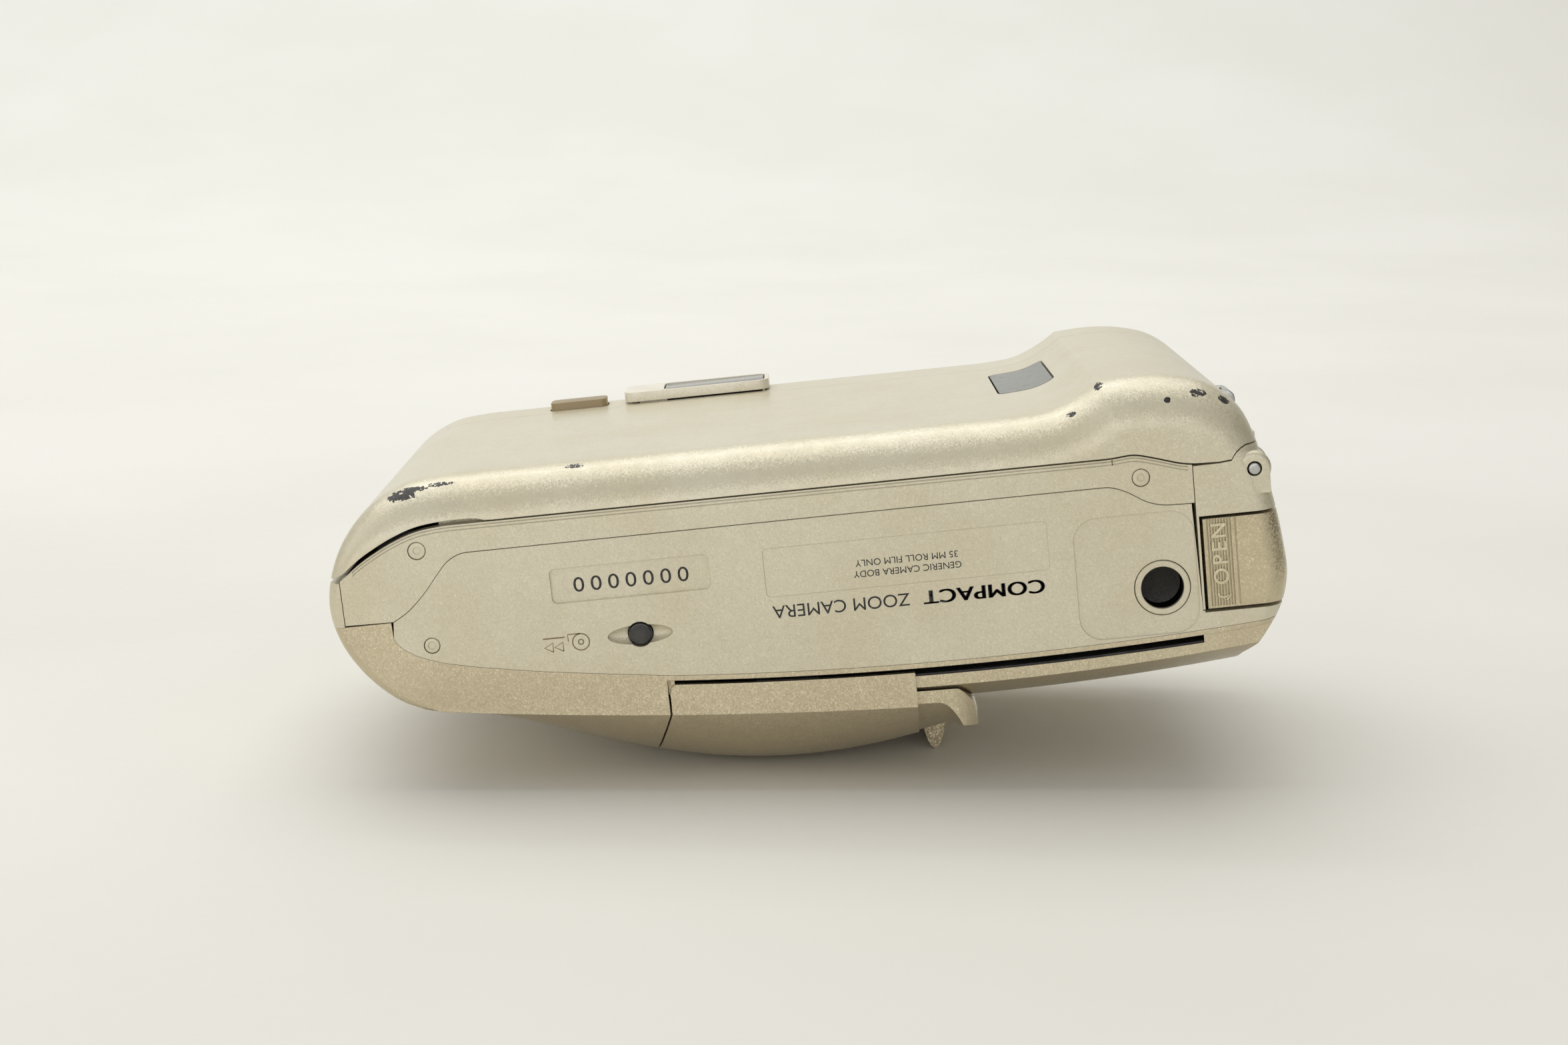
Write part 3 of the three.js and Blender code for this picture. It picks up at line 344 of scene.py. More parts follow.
def flake_paint(name, light, dark, rough=0.4, metal=0.42, marks=(), flake=0.25, dirt=0.25):
    """Metallic paint: fine flakes tilt the surface, a few flakes carry a painted glint, soft handling dirt,
    and broken chips where listed.
    """
    p = Paint(name)
    cells = p.node("ShaderNodeTexVoronoi")
    p.link(p.where, cells.inputs["Vector"])
    cells.inputs["Scale"].default_value = 1 / (0.15 * MM)
    tilt = p.vector("SUBTRACT", cells.outputs["Color"], (0.5, 0.5, 0.5))
    tilt = p.vector("MULTIPLY", tilt, (flake, flake, flake))
    normal = p.vector("NORMALIZE", p.vector("ADD", p.edge_normal(0.12), tilt))
    cloud = p.noise(14.0, 4.0)
    shade = p.mix(p.ramp(cloud, 0.35, 0.7), light, dark)
    smudge = p.ramp(p.noise(5.0, 6.0, (1.0, 1.0, 2.2)), 0.6, 0.85, 0.0, dirt)
    shade = p.mix(smudge, shade, tuple(0.7 * c for c in dark[:3]) + (1.0,))
    # Painted glint: a few flake cells are lightened towards near-white in the colour itself, standing in for
    # sparkle from the lamps.
    painted_glint = p.ramp(cells.outputs["Color"], 0.9, 0.97, 0.0, 0.4)
    shade = p.mix(painted_glint, shade, rgb(244, 240, 226))
    specks = p.ramp(p.noise(0.4, 1.0), 0.79, 0.83, 0.0, 0.5)
    shade = p.mix(specks, shade, rgb(120, 106, 80))
    bare = 0.0
    for mark in marks:
        bare = p.math("MAXIMUM", bare, p.blob(*mark))
    if marks:
        shade = p.mix(bare, shade, rgb(38, 35, 32))
        p.set("Metallic", p.ramp(bare, 0.0, 1.0, metal, 0.0))
    else:
        p.set("Metallic", metal)
    p.set("Base Color", shade)
    p.set("Roughness", p.math("ADD", p.ramp(p.noise(2.0, 5.0), 0.3, 0.7, 0.0, 0.1), rough))
    p.set("Normal", normal)
    p.set("Coat Weight", p.ramp(bare, 0.0, 1.0, 0.6, 0.0) if marks else 0.6)
    p.set("Coat Roughness", 0.22)
    return p.material


def plastic(name, colour, rough=0.5, grain=0.3, bump=0.02, coat=0.0, edge=0.12):
    """Moulded plastic with a fine grain and faint dust."""
    p = Paint(name)
    lines = p.noise(grain, 4.0)
    dust = p.ramp(p.noise(4.0, 6.0), 0.5, 0.75, 0.0, 0.12)
    p.set("Base Color", p.mix(dust, colour, rgb(150, 145, 132)))
    p.set("Roughness", p.ramp(lines, 0.3, 0.7, rough - 0.06, rough + 0.08))
    relief = p.node("ShaderNodeBump")
    relief.inputs["Distance"].default_value = bump * MM
    p.link(lines, relief.inputs["Height"])
    p.link(p.edge_normal(edge), relief.inputs["Normal"])
    p.set("Normal", relief.outputs["Normal"])
    p.set("Coat Weight", coat)
    return p.material


def metal(name, colour, rough=0.25, brushed=(1.0, 1.0, 1.0)):
    """Bare metal with brushed or turned grain and slight tarnish."""
    p = Paint(name)
    lines = p.noise(0.25, 5.0, brushed)
    tarnish = p.ramp(p.noise(1.6, 5.0), 0.45, 0.75, 0.0, 0.45)
    p.set("Base Color", p.mix(tarnish, colour, tuple(0.5 * c for c in colour[:3]) + (1.0,)))
    p.set("Metallic", 1.0)
    p.set("Roughness", p.ramp(lines, 0.3, 0.7, rough - 0.08, rough + 0.12))
    relief = p.node("ShaderNodeBump")
    relief.inputs["Distance"].default_value = 0.008 * MM
    p.link(lines, relief.inputs["Height"])
    p.link(p.edge_normal(0.08), relief.inputs["Normal"])
    p.set("Normal", relief.outputs["Normal"])
    return p.material


def clear(name, colour, rough=0.05, through=0.85):
    """Window plastic or glass with faint smears."""
    p = Paint(name)
    p.set("Base Color", p.mix(p.ramp(p.noise(2.5, 5.0), 0.45, 0.75, 0.0, 0.2), colour, rgb(120, 118, 112)))
    p.set("Roughness", p.ramp(p.noise(1.2, 5.0), 0.4, 0.7, rough, rough + 0.12))
    p.set("Transmission Weight", through)
    p.set("IOR", 1.49)
    return p.material


def ink(name, colour, rough=0.55):
    """Printed paint, slightly worn."""
    p = Paint(name)
    wear = p.ramp(p.noise(0.25, 4.0), 0.55, 0.72, 0.0, 0.5)
    p.set("Base Color", p.mix(wear, colour, rgb(150, 141, 120)))
    p.set("Roughness", p.ramp(p.noise(0.3, 3.0), 0.3, 0.7, rough - 0.08, rough + 0.08))
    return p.material


LIGHT, DARK = rgb(213, 206, 182), rgb(208, 199, 172)
DOOR_MARKS = (
    ((-50.4, -29.2, 45.0), (3.6, 2.2, 1.3), 0.5, 0.4, 0.45),
    ((-49.0, -28.9, 45.6), (3.0, 1.6, 0.5), 0.4, 0.36, 0.42),
    ((-45.4, -28.8, 45.9), (3.6, 1.2, 0.5), 0.35, 0.46, 0.5),
    ((-28.3, -27.7, 46.3), (2.2, 1.2, 0.7), 0.3, 0.48, 0.52),
    ((51.1, -29.5, 47.9), (2.2, 1.6, 1.1), 0.45, 0.44, 0.49),
    ((54.3, -28.7, 46.6), (1.5, 1.3, 1.1), 0.45, 0.42, 0.47),
    ((38.9, -27.4, 49.6), (1.1, 1.6, 1.3), 0.4, 0.42, 0.47),
    ((47.0, -30.7, 47.6), (0.8, 0.7, 0.62), 0.5, 0.34, 0.4),
    ((35.2, -29.0, 46.6), (1.5, 1.2, 0.9), 0.3, 0.47, 0.51),
)
SHELL = flake_paint("champagne_paint", LIGHT, DARK)
DOOR = flake_paint("champagne_door", LIGHT, DARK, marks=DOOR_MARKS)
PLATE = flake_paint("champagne_base", LIGHT, DARK, rough=0.42)
# Painted shade: the lens side carries the shell's champagne paint, coloured darker and browner here to stand
# in for the shade on the side that faces the floor.
FRONT_PAINTED_SHADE = flake_paint("champagne_front_painted_shade", rgb(202, 190, 161), rgb(196, 183, 154), rough=0.3, metal=0.9)
TAB = flake_paint("champagne_tab", rgb(200, 188, 156), rgb(188, 175, 142), rough=0.28, metal=0.75)
PALE = flake_paint("champagne_pale", rgb(240, 234, 216), rgb(232, 225, 205), metal=0.2)
EDGE = flake_paint("champagne_edge", rgb(222, 212, 180), rgb(200, 188, 150), rough=0.22, metal=0.8)
BLACK = plastic("black_plastic", rgb(26, 26, 28), 0.55)
BLACK_FINE = plastic("black_gloss", rgb(12, 12, 14), 0.16, bump=0.003, coat=0.5)
TAN = plastic("tan_plastic", rgb(156, 136, 98), 0.35)
FOAM = plastic("foam", rgb(30, 30, 32), 0.9, 0.5, 0.2)
STEEL = metal("steel", rgb(190, 190, 186))
BRASS = metal("brass", rgb(196, 160, 92))
# Painted shade: the tripod bush is coloured almost black, which stands in for the shade inside its threaded
# bore.
BORE_STEEL_PAINTED_SHADE = metal("socket_steel_painted_shade", rgb(52, 50, 48), 0.4)
SMOKE = clear("smoke_window", rgb(104, 107, 108), 0.08, 0.45)
GLASS = clear("clear_window", rgb(225, 232, 236), 0.03, 0.92)
COATED = clear("coated_glass", rgb(150, 130, 190), 0.02, 0.8)
CIRCUIT = plastic("circuit", rgb(40, 98, 62), 0.45, coat=0.3)
CELL = plastic("cell_wrap", rgb(52, 60, 78), 0.3, coat=0.4)
INK = ink("ink", rgb(34, 34, 36))
FLAG = plastic("flag_cloth", rgb(60, 56, 50), 0.9)
BROWN = ink("engraved_paint", rgb(132, 116, 82))


# ------------------------------------------------------------------ body surface
RIGHT_SIDE = (
    (54.6, 13.4, 1.2), (57.2, 16.2, 1.8), (59.6, 19.6, 2.6), (60.8, 23.5, 3.2), (60.5, 28.5, 3.2),
    (59.7, 33.5, 3.0), (58.8, 37.5, 3.0), (58.0, 41.5, 4.2), (56.4, 45.4, 5.6), (52.9, 48.5, 6.2),
    (48.5, 50.0, 6.4), (43.8, 50.5, 6.5), (39.0, 50.3, 6.5),
)
GRIP_HOLLOW = ((39.0, 50.3, 6.5), (36.4, 48.7, 6.5), (32.8, 47.2, 6.5), (28.0, BACK_Z, 6.5))
LEFT_SIDE = (
    (-45.0, BACK_Z, 6.5), (-50.2, 46.1, 6.2), (-55.0, 43.7, 5.0), (-58.7, 39.6, 3.2), (-60.6, 35.0, 1.8),
    (-61.0, 31.2, 1.3), (-60.0, 26.8, 1.3), (-57.4, 22.4, 1.3), (-53.6, 18.9, 1.0), (-50.4, 17.4, 0.6),
)


def crease(x):
    """Height of the line where the body's side meets its lens side."""
    return 17.15 - 0.11655 * (x + 49.4) + 0.000778 * (x + 49.4) * (x + 19.8)


def bulge(x):
    """How far the lens side stands out from the crease on the middle line."""
    swell = 10.3 * math.cos(min(abs(0.0385 * (x + 7.5)), math.pi / 2))
    return max(swell, 0.25 if x < 0 else 4.0)


def crown(y, half=HALF):
    """Share of the bulge at a height across the body: 1 in the middle, 0 at the edges."""
    return 1 - min(abs(y - MID_Y) / half, 1.0) ** 4.5


def plate(x, y):
    """The recessed face that the barrier slides over."""
    return 14.48 + 0.0214 * (x - 18.7) + 0.00144 * (x - 18.7) * (x - 40.1) - PLATE_BULGE * crown(y)


def barrier_left(y):
    return BARRIER_LEFT - BARRIER_BOW * crown(y)


def rail(x, offset=0.0):
    """The arc that the barrier's tongues follow."""
    return RAIL_Z - math.sqrt((RAIL_RADIUS + offset) ** 2 - (x - RAIL_X) ** 2)


def smooth_curve(points, per):
    """Centripetal curve through the points, as the CAD draws it."""
    p = [np.array(q, float) for q in points]
    p = [2 * p[0] - p[1]] + p + [2 * p[-1] - p[-2]]
    out = []
    for i in range(1, len(p) - 2):
        steps = [max(float(((p[i + k] - p[i + k - 1]) ** 2).sum()) ** 0.25, 1e-4) for k in range(3)]
        d0, d1, d2 = steps
        t1 = ((p[i] - p[i - 1]) / d0 - (p[i + 1] - p[i - 1]) / (d0 + d1) + (p[i + 1] - p[i]) / d1) * d1
        t2 = ((p[i + 1] - p[i]) / d1 - (p[i + 2] - p[i]) / (d1 + d2) + (p[i + 2] - p[i + 1]) / d2) * d1
        c2 = -3 * p[i] + 3 * p[i + 1] - 2 * t1 - t2
        c3 = 2 * p[i] - 2 * p[i + 1] + t1 + t2
        out += [p[i] + t1 * t + c2 * t * t + c3 * t ** 3 for t in np.linspace(0, 1, per, endpoint=False)]
    return out + [p[-2]]


def body_outline():
    """The body's section: place, edge radius, whether it is on the lens side, and outward direction."""
    front = [(x, crease(x), 0.0, True) for x in np.linspace(-48.6, 53.4, 72)]
    right = [(*q, False) for q in smooth_curve(RIGHT_SIDE, 7)]
    hollow = [(*q, False) for q in smooth_curve(GRIP_HOLLOW, 7)[1:]]
    flat = [(x, BACK_Z, 6.5, False) for x in np.linspace(28, -45, 12)[1:-1]]
    left = [(*q, False) for q in smooth_curve(LEFT_SIDE, 7)]
    points = front + right + hollow + flat + left
    outline = []
    for i, point in enumerate(points):
        before, after = points[i - 1], points[(i + 1) % len(points)]
        sides = []
        for a, b in ((before, point), (point, after)):
            side = np.array([b[1] - a[1], a[0] - b[0]])
            sides.append(side / np.linalg.norm(side))
        mean = sides[0] + sides[1]
        mean /= np.linalg.norm(mean)
        outline.append((*point, *(mean / max(mean @ sides[0], 0.6))))
    return outline


OUTLINE = body_outline()
CREST = next(i for i, q in enumerate(OUTLINE) if abs(q[0] - 39.0) + abs(q[1] - 50.3) < 1e-6)


def rows(count, inset=0.0):
    """Heights across the body, closer together near its edges."""
    return [MID_Y - (HALF - inset) * math.cos(math.pi * k / count) for k in range(count + 1)]


def body_solid(inset):
    """The closed body, smaller by inset all round."""
    rings = []
    half = HALF - inset
    for y in rows(84, inset):
        ring = []
        for x, z, radius, front, nx, nz in OUTLINE:
            if front:
                ring.append((x, y, z + 1.2 * inset - bulge(x) * crown(y, half)))
                continue
            edge = max((min(radius, TOP_EDGE) if y > MID_Y else radius) - inset, 0.2)
            depth = min(y - (BASE_Y + inset), (TOP_Y - inset) - y)
            back = 0.0
            if depth < edge:
                back = edge - math.sqrt(max(edge * edge - (edge - depth) ** 2, 0.0))
            ring.append((x - (inset + back) * nx, y, z - (inset + back) * nz))
        at_x, _, at_z = ring[CREST]
        for k in range(1, 24):
            if ring[CREST - k][0] < at_x:
                ring[CREST - k] = (at_x + 0.003 * k, y, at_z)
            if ring[CREST + k][0] > at_x:
                ring[CREST + k] = (at_x - 0.003 * k, y, at_z)
        rings.append(ring)
    return loft("body", rings)


def plate_recess(inset):
    """What is taken off the lens side to leave the face under the barrier."""
    rings = []

    def row(y, reach):
        left = barrier_left(y) - inset
        ring = [(left, y, -10), (FAR, y, -10), (FAR, y, plate(64, reach) + inset)]
        ring += [(x, y, plate(x, reach) + inset) for x in np.linspace(64, left, 40)]
        rings.append(ring)

    row(BASE_Y - 1, BASE_Y)
    for y in rows(60):
        row(y, y)
    row(TOP_Y + 1, TOP_Y)
    return loft("recess", rings)


def rail_line(x0, x1, offset, count=30):
    return [(x, rail(x, offset)) for x in np.linspace(x0, x1, count)]


inner = body_solid(WALL)
flange = [(BARRIER_LEFT, -10), (60, -10)] + rail_line(BARRIER_LEFT, 60, 0)[::-1]
hollow = cut(copy(inner, "hollow"), plate_recess(WALL))
shell = cut(
    body_solid(0.0),
    plate_recess(0.0),
    prism_y(flange, BASE_Y - 1, BASE_Y + 1.1),
    prism_y(flange, TOP_Y - 1.1, TOP_Y + 1),
    hollow,
)


def shell_part(*regions):
    """The part of the shell inside every region; the regions are used up."""
    return common(copy(shell, "part"), *regions)


# ------------------------------------------------------------------ seams
DOOR_EDGE = [
    (-60.0, 35.0), (-58.8, 35.4), (-56.2, 37.4), (-52.5, 39.4), (-49.0, 40.7), (-45.5, 41.1), (39.4, 41.0),
    (42.1, 41.3), (44.6, 40.6), (48.7, 39.3), (52.8, 39.2), (54.3, 39.35), (54.6, 39.85), (55.0, 40.3),
    (55.6, 40.72), (56.3, 41.0),
]
PLATE_TOP = [
    (-53.0, 29.3), (-51.0, 30.4), (-48.7, 32.5), (-46.8, 34.8), (-45.3, 36.5), (-43.5, 37.4), (38.9, 37.5),
    (40.9, 36.7), (43.3, 35.1), (45.3, 34.5), (48.9, 34.4),
]
PLATE_FOOT = [
    (-53.2, 27.1), (-52.4, 25.8), (-50.4, 24.5), (-47.5, 23.4), (-43.0, 22.4), (-35.0, 21.0), (-27.0, 19.9),
]
TRIM_X, SIDE_X = -59.2, 49.4


def eased(points, radius=2.2, steps=6):
    """Rounds each corner of an open polyline."""
    out = [points[0]]
    for a, b, c in zip(points, points[1:], points[2:]):
        a, b, c = (Vector(q) for q in (a, b, c))
        r = min(radius, (a - b).length * 0.45, (c - b).length * 0.45)
        p, q = b + (a - b).normalized() * r, b + (c - b).normalized() * r
        for k in range(steps + 1):
            t = k / steps
            s = p * (1 - t) ** 2 + b * 2 * t * (1 - t) + q * t * t
            out.append((s.x, s.y))
    return out + [points[-1]]


def moved(points, dz, dx=0.0):
    return [(x + dx, z + dz) for x, z in points]


PLATE_TOP = eased(PLATE_TOP)
PLATE_FOOT = eased(PLATE_FOOT + rail_line(-18.5, 62, -0.65), 1.2)
DOOR_LINE = eased(DOOR_EDGE[:11], 1.8) + DOOR_EDGE[11:]
HALF_SEAM = SEAM / 2


def knuckle_zone(radius, y0, y1):
    return rod("Y", HINGE_X, HINGE_Z, radius, y0, y1, 72)


# ------------------------------------------------------------------ film door
def lifted(points):
    """The door's edge stands further off the frame towards its free end."""
    fine = []
    for (x0, z0), (x1, z1) in zip(points, points[1:]):
        count = max(int(abs(x1 - x0)), 1)
        fine += [(x0 + (x1 - x0) * k / count, z0 + (z1 - z0) * k / count) for k in range(count)]
    out = []
    for x, z in fine + [points[-1]]:
        t = min(max((-39.5 - x) / 2.0, 0.0), 1.0)
        out.append((x, z + CLEAR * 0.6 + 0.42 * t * t * (3 - 2 * t)))
    return out


def film_window_zone(gap, corner):
    (x0, x1), (y0, y1) = span("film_window", 0), span("film_window", 1)
    return prism_z(rounded(x0 - gap, x1 + gap, y0 - gap, y1 + gap, corner), 40, 60)


door_zone = prism_y(
    [(-FAR, 35 + CLEAR)] + lifted(DOOR_LINE) + [(FAR, 41.0 + CLEAR * 0.6), (FAR, FAR), (-FAR, FAR)],
    BASE_Y - 1,
    SPLIT_Y - HALF_SEAM,
)
door = shell_part(door_zone)
door = cut(
    door,
    knuckle_zone(2.45, BASE_Y - 1, HINGE_LOW - CLEAR),
    knuckle_zone(2.45, HINGE_HIGH + CLEAR, SPLIT_Y),
    film_window_zone(CLEAR, 1.2),
)
barrel = soft_rod("barrel", "Y", HINGE_X, HINGE_Z, 2.4, HINGE_LOW, HINGE_HIGH)
door = join(door, barrel, block(55.9, 58.1, HINGE_LOW + 0.1, HINGE_HIGH - 0.1, HINGE_Z, HINGE_Z + 4))
door = cut(door, knuckle_zone(0.85, -FAR, FAR))
done(door, "film_door_skin", "film_door", DOOR, ("film_door",))

pane = shell_part(film_window_zone(0.0, 1.0))
done(pane, "film_window_pane", "film_door", SMOKE, ("film_window",))

# ------------------------------------------------------------------ fixed covers
below_top = block(-FAR, FAR, -FAR, SPLIT_Y - HALF_SEAM, -FAR, FAR)
trim_top = 35 - HALF_SEAM
trim_zone = prism_y([(-FAR, 29.2), (TRIM_X, 29.2), (TRIM_X, trim_top), (-FAR, trim_top)], -FAR, FAR)
trim = cut(shell_part(trim_zone, below_top), block(-FAR, -50, -4.4, 3.0, 30.9, 32.3))
done(trim, "left_trim_skin", "camera_body", SHELL, ("left_trim",))


def dimple(x, z, r, depth):
    """The tapered hollow in the face of a plug or screw."""
    mouth, floor = BASE_Y - 1, BASE_Y + depth
    return turned("cut", "Y", x, z, [(0, mouth), (r, mouth), (r - 0.1, floor), (0, floor)])


frame_zone = prism_y(
    [(TRIM_X + SEAM, 29.4 + HALF_SEAM)]
    + moved(PLATE_TOP, HALF_SEAM)
    + [(SIDE_X - SEAM, 34.4 + HALF_SEAM), (SIDE_X - SEAM, 39.1 - HALF_SEAM)]
    + [q for q in moved(DOOR_LINE, -HALF_SEAM)[::-1] if TRIM_X + SEAM < q[0] < SIDE_X - SEAM]
    + [(TRIM_X + SEAM, 35.1 - HALF_SEAM)],
    BASE_Y - 1,
    BASE_Y + WALL + 0.6,
)
strip = shell_part(frame_zone)
strip = join(
    strip,
    block(-46, 40, BASE_Y + WALL + 0.4, BASE_Y + WALL + 1.0, 38.2, 41.5),
    block(-45.9, 39.9, BASE_Y + WALL - 0.4, BASE_Y + WALL + 0.7, 38.3, 40.3),
)
plugs = [centre("frame_plug_1"), centre("frame_plug_2")]
ridge_line = [q for q in DOOR_LINE if TRIM_X + 1.2 < q[0] < SIDE_X - 0.3]
for low, high, depth in ((-0.36, -0.24, 0.16), (-0.76, -0.66, 0.1)):
    groove = moved(ridge_line, high) + moved(ridge_line, low)[::-1]
    strip = cut(strip, prism_y(groove, BASE_Y - 1, BASE_Y + depth))
strip = cut(
    strip,
    block(39.3, 39.42, BASE_Y - 1, BASE_Y + 0.5, 40.2, 42.0),
    *[rod("Y", x, z, 1.16, -FAR, BASE_Y + 0.6) for x, _, z in plugs],
)
done(strip, "rear_frame_skin", "camera_body", SHELL, ("rear_frame",))
for i, (x, _, z) in enumerate(plugs):
    plug = soft_rod("plug", "Y", x, z, 1.08, BASE_Y + 0.03, BASE_Y + 0.5, 0.12)
    plug = cut(plug, dimple(x, z, 0.55, 0.12))
    done(plug, f"plug_{i + 1}", "camera_body", SHELL, (f"frame_plug_{i + 1}",))

NUMBER_PANEL_DEPTH, NOTICE_PANEL_DEPTH = 0.3, 0.07
BATTERY_X = span("battery_door", 0)[0]
TAB_Z, PANEL_X, PANEL_Z = (20.6, 32.2), 55.5, span("battery_door", 2)


def battery_zone(gap):
    tab = block(BATTERY_X - gap, FAR, BASE_Y - 1, -26, TAB_Z[0] - gap, TAB_Z[1] + gap)
    panel = block(PANEL_X, FAR, -26.5 - gap, 3.8 + 3 * gap, PANEL_Z[0] - gap, PANEL_Z[1] + gap)
    return join(tab, panel)


def scoop():
    """The long shallow hollow round the rewind button: a unit dome stretched to size."""
    arc = [(math.cos(a), math.sin(a)) for a in np.linspace(0.05, math.pi / 2, 14)[:-1]]
    dish = turned("cut", "Y", 0, 0, [(0, -1), (1, -1)] + arc + [(0, 1.0)])
    for vertex in dish.data.vertices:
        x, y, z = vertex.co
        vertex.co = (x * 4.15 + REWIND_X * MM, y * 1.15 + BASE_Y * MM, z * 1.25 + REWIND_Z * MM)
    return dish


plate_zone = prism_y(
    moved(PLATE_TOP, -HALF_SEAM)[::-1] + moved(PLATE_FOOT, 0.4 * HALF_SEAM) + [(62, 20.4), (SIDE_X, 20.4)],
    BASE_Y - 1,
    BASE_Y + WALL + 0.4,
)
base = cut(shell_part(plate_zone), battery_zone(0.45))
base = cut(
    base,
    prism_y(rounded(-32.6, -12.4, 29.6, 34.1, 0.7), BASE_Y - 1, BASE_Y + NUMBER_PANEL_DEPTH),
    prism_y(rounded(-5.5, 30.5, 27.7, 34.0, 0.6), BASE_Y - 1, BASE_Y + NOTICE_PANEL_DEPTH),
    prism_y(rounded(33.7, 49.0, 17.9, 33.7, 3), BASE_Y - 1, BASE_Y + 0.2),
    rod("Y", TRIPOD_X, TRIPOD_Z, 3.6, -FAR, -20),
    scoop(),
)
base = cut(
    base,
    rod("Y", REWIND_X, REWIND_Z, 1.65, -FAR, -20),
    rod("Y", SCREW_X, SCREW_Z, 1.05, -FAR, -20),
)
done(base, "base_plate_skin", "camera_body", PLATE, ("bottom_plate",))

screw = soft_rod("screw", "Y", SCREW_X, SCREW_Z, 0.98, BASE_Y + 0.03, BASE_Y + 2.8, 0.15)
screw = cut(screw, dimple(SCREW_X, SCREW_Z, 0.6, 0.14))
done(screw, "plate_screw_head", "camera_body", PLATE, ("plate_screw",))

button = join(
    soft_rod("rewind", "Y", REWIND_X, REWIND_Z, 1.5, BASE_Y + 0.25, BASE_Y + 2.5, 0.3),
    soft_rod("collar", "Y", REWIND_X, REWIND_Z, 2.3, BASE_Y + WALL + 0.25, BASE_Y + WALL + 0.9, 0.15),
)
done(button, "rewind_button_cap", "rewind_button", BLACK_FINE, ("rewind_button",))


THREAD_PITCH = 1.27


def socket_profile():
    """Section of the tripod bush, with a ridge down the bore at each turn of its thread."""
    profile = [(4.1, -29.95), (4.1, -27.4), (0, -27.4), (0, -27.95), (2.6, -27.95)]
    y = -28.1
    while y > -31.3:
        profile += [(2.95, y), (3.0, y - 0.3), (2.65, y - 0.65), (2.65, y - 0.75)]
        y -= THREAD_PITCH
    profile += [(2.66, -31.3), (2.66, -31.38), (3.5, -31.38), (3.5, -29.95)]
    return profile


bush = turned("bush", "Y", TRIPOD_X, TRIPOD_Z, socket_profile(), 128)
done(bush, "tripod_bush_threaded", "camera_body", BORE_STEEL_PAINTED_SHADE, ("tripod_bush",))
collar_section = [(2.72, -31.86), (2.8, -31.93), (3.4, -31.93), (3.5, -31.83), (3.5, -31.4), (2.72, -31.4)]
collar = turned("collar", "Y", TRIPOD_X, TRIPOD_Z, collar_section, 128)
done(collar, "tripod_collar", "camera_body", PLATE)

# ------------------------------------------------------------------ grip side and hinge
side_zone = prism_y(
    [(SIDE_X, 20.55), (55.5, 20.55), (55.5, 18.4), (FAR, 18.4), (FAR, 41.0 - HALF_SEAM)]
    + moved(DOOR_EDGE[10:], -HALF_SEAM)[::-1] + [(SIDE_X, 39.1)],
    BASE_Y - 1,
    SPLIT_Y - HALF_SEAM,
)
side = cut(
    shell_part(side_zone),
    block(SIDE_X - 1, FAR, BASE_Y - 1, BASE_Y + WALL + 0.65, 0, 20.55),
    battery_zone(0.4),
    knuckle_zone(2.9, HINGE_LOW - CLEAR, HINGE_HIGH + CLEAR),
    block(54, FAR, HINGE_LOW - CLEAR, HINGE_HIGH + CLEAR, HINGE_Z - 1.2, FAR),
)
for y0, y1 in ((BASE_Y + 0.1, HINGE_LOW - CLEAR), (HINGE_HIGH + CLEAR, SPLIT_Y - CLEAR)):
    side = join(
        side,
        soft_rod("knuckle", "Y", HINGE_X, HINGE_Z, 2.2, y0, y1, 0.6),
        block(HINGE_X - 1.6, HINGE_X + 1.9, y0 + 0.02, y1 - 0.02, 34.8, HINGE_Z),
    )
side = cut(side, knuckle_zone(0.95, -FAR, FAR))
done(side, "grip_side_skin", "camera_body", SHELL, ("grip_side",))
pin = soft_rod("pin", "Y", HINGE_X, HINGE_Z, 0.75, BASE_Y - 0.05, SPLIT_Y - 0.6, 0.2)
done(pin, "hinge_pin_rod", "camera_body", STEEL, ("hinge_pin",))

# ------------------------------------------------------------------ battery door
flap = shell_part(battery_zone(0.0))
ears = [soft_rod("ear", "Z", 59.6, 2.8, 1.1, z0, z1, 0.1) for z0, z1 in ((19.4, 21.6), (31.4, 33.6))]
flap = join(flap, *ears)
ribs = []
for k in range(9):
    x = 50.55 + 0.36 * k
    ribs.append(block(x, x + 0.16, BASE_Y - 1, BASE_Y + 0.22, 20.9, 32.4))
ribs.append(block(54.1, 54.25, BASE_Y - 1, BASE_Y + 0.12, 20.9, 33.4))
pivot = rod("Z", BATTERY_PIN_X, BATTERY_PIN_Y, 0.6, -FAR, FAR)
flap = cut(flap, pivot, block(-FAR, FAR, 3.8, FAR, -FAR, FAR), *ribs)
done(flap, "battery_door_skin", "battery_door", TAB, ("battery_door",))

# ------------------------------------------------------------------ front cover
front_low = prism_y(
    [(-FAR, -FAR), (FAR, -FAR), (FAR, 18.4 - HALF_SEAM), (62, 18.4 - HALF_SEAM)]
    + moved(PLATE_FOOT, -0.4 * HALF_SEAM)[::-1][1:]
    + [(-53.3, 29.3 - HALF_SEAM), (-FAR, 29.3 - HALF_SEAM)],
    -FAR,
    SPLIT_Y + 0.01,
)
front_zone = join(front_low, block(-FAR, FAR, SPLIT_Y, FAR, -FAR, SPLIT_Z - HALF_SEAM))
slot_line = rail_line(RAIL_LEFT, RAIL_RIGHT, 0) + rail_line(RAIL_LEFT, RAIL_RIGHT, RAIL_WIDTH)[::-1]
liner_ends = (RAIL_LEFT + 0.1, RAIL_RIGHT - 0.1)
liner = rail_line(*liner_ends, 1.0) + rail_line(*liner_ends, RAIL_WIDTH - 0.01)[::-1]
for name, y0, y1 in (("low", BASE_Y + 1.15, BASE_Y + 7.6), ("high", TOP_Y - 7.6, TOP_Y - 1.15)):
    done(prism_y(liner, y0, y1), f"rail_liner_{name}", "camera_body", BLACK)
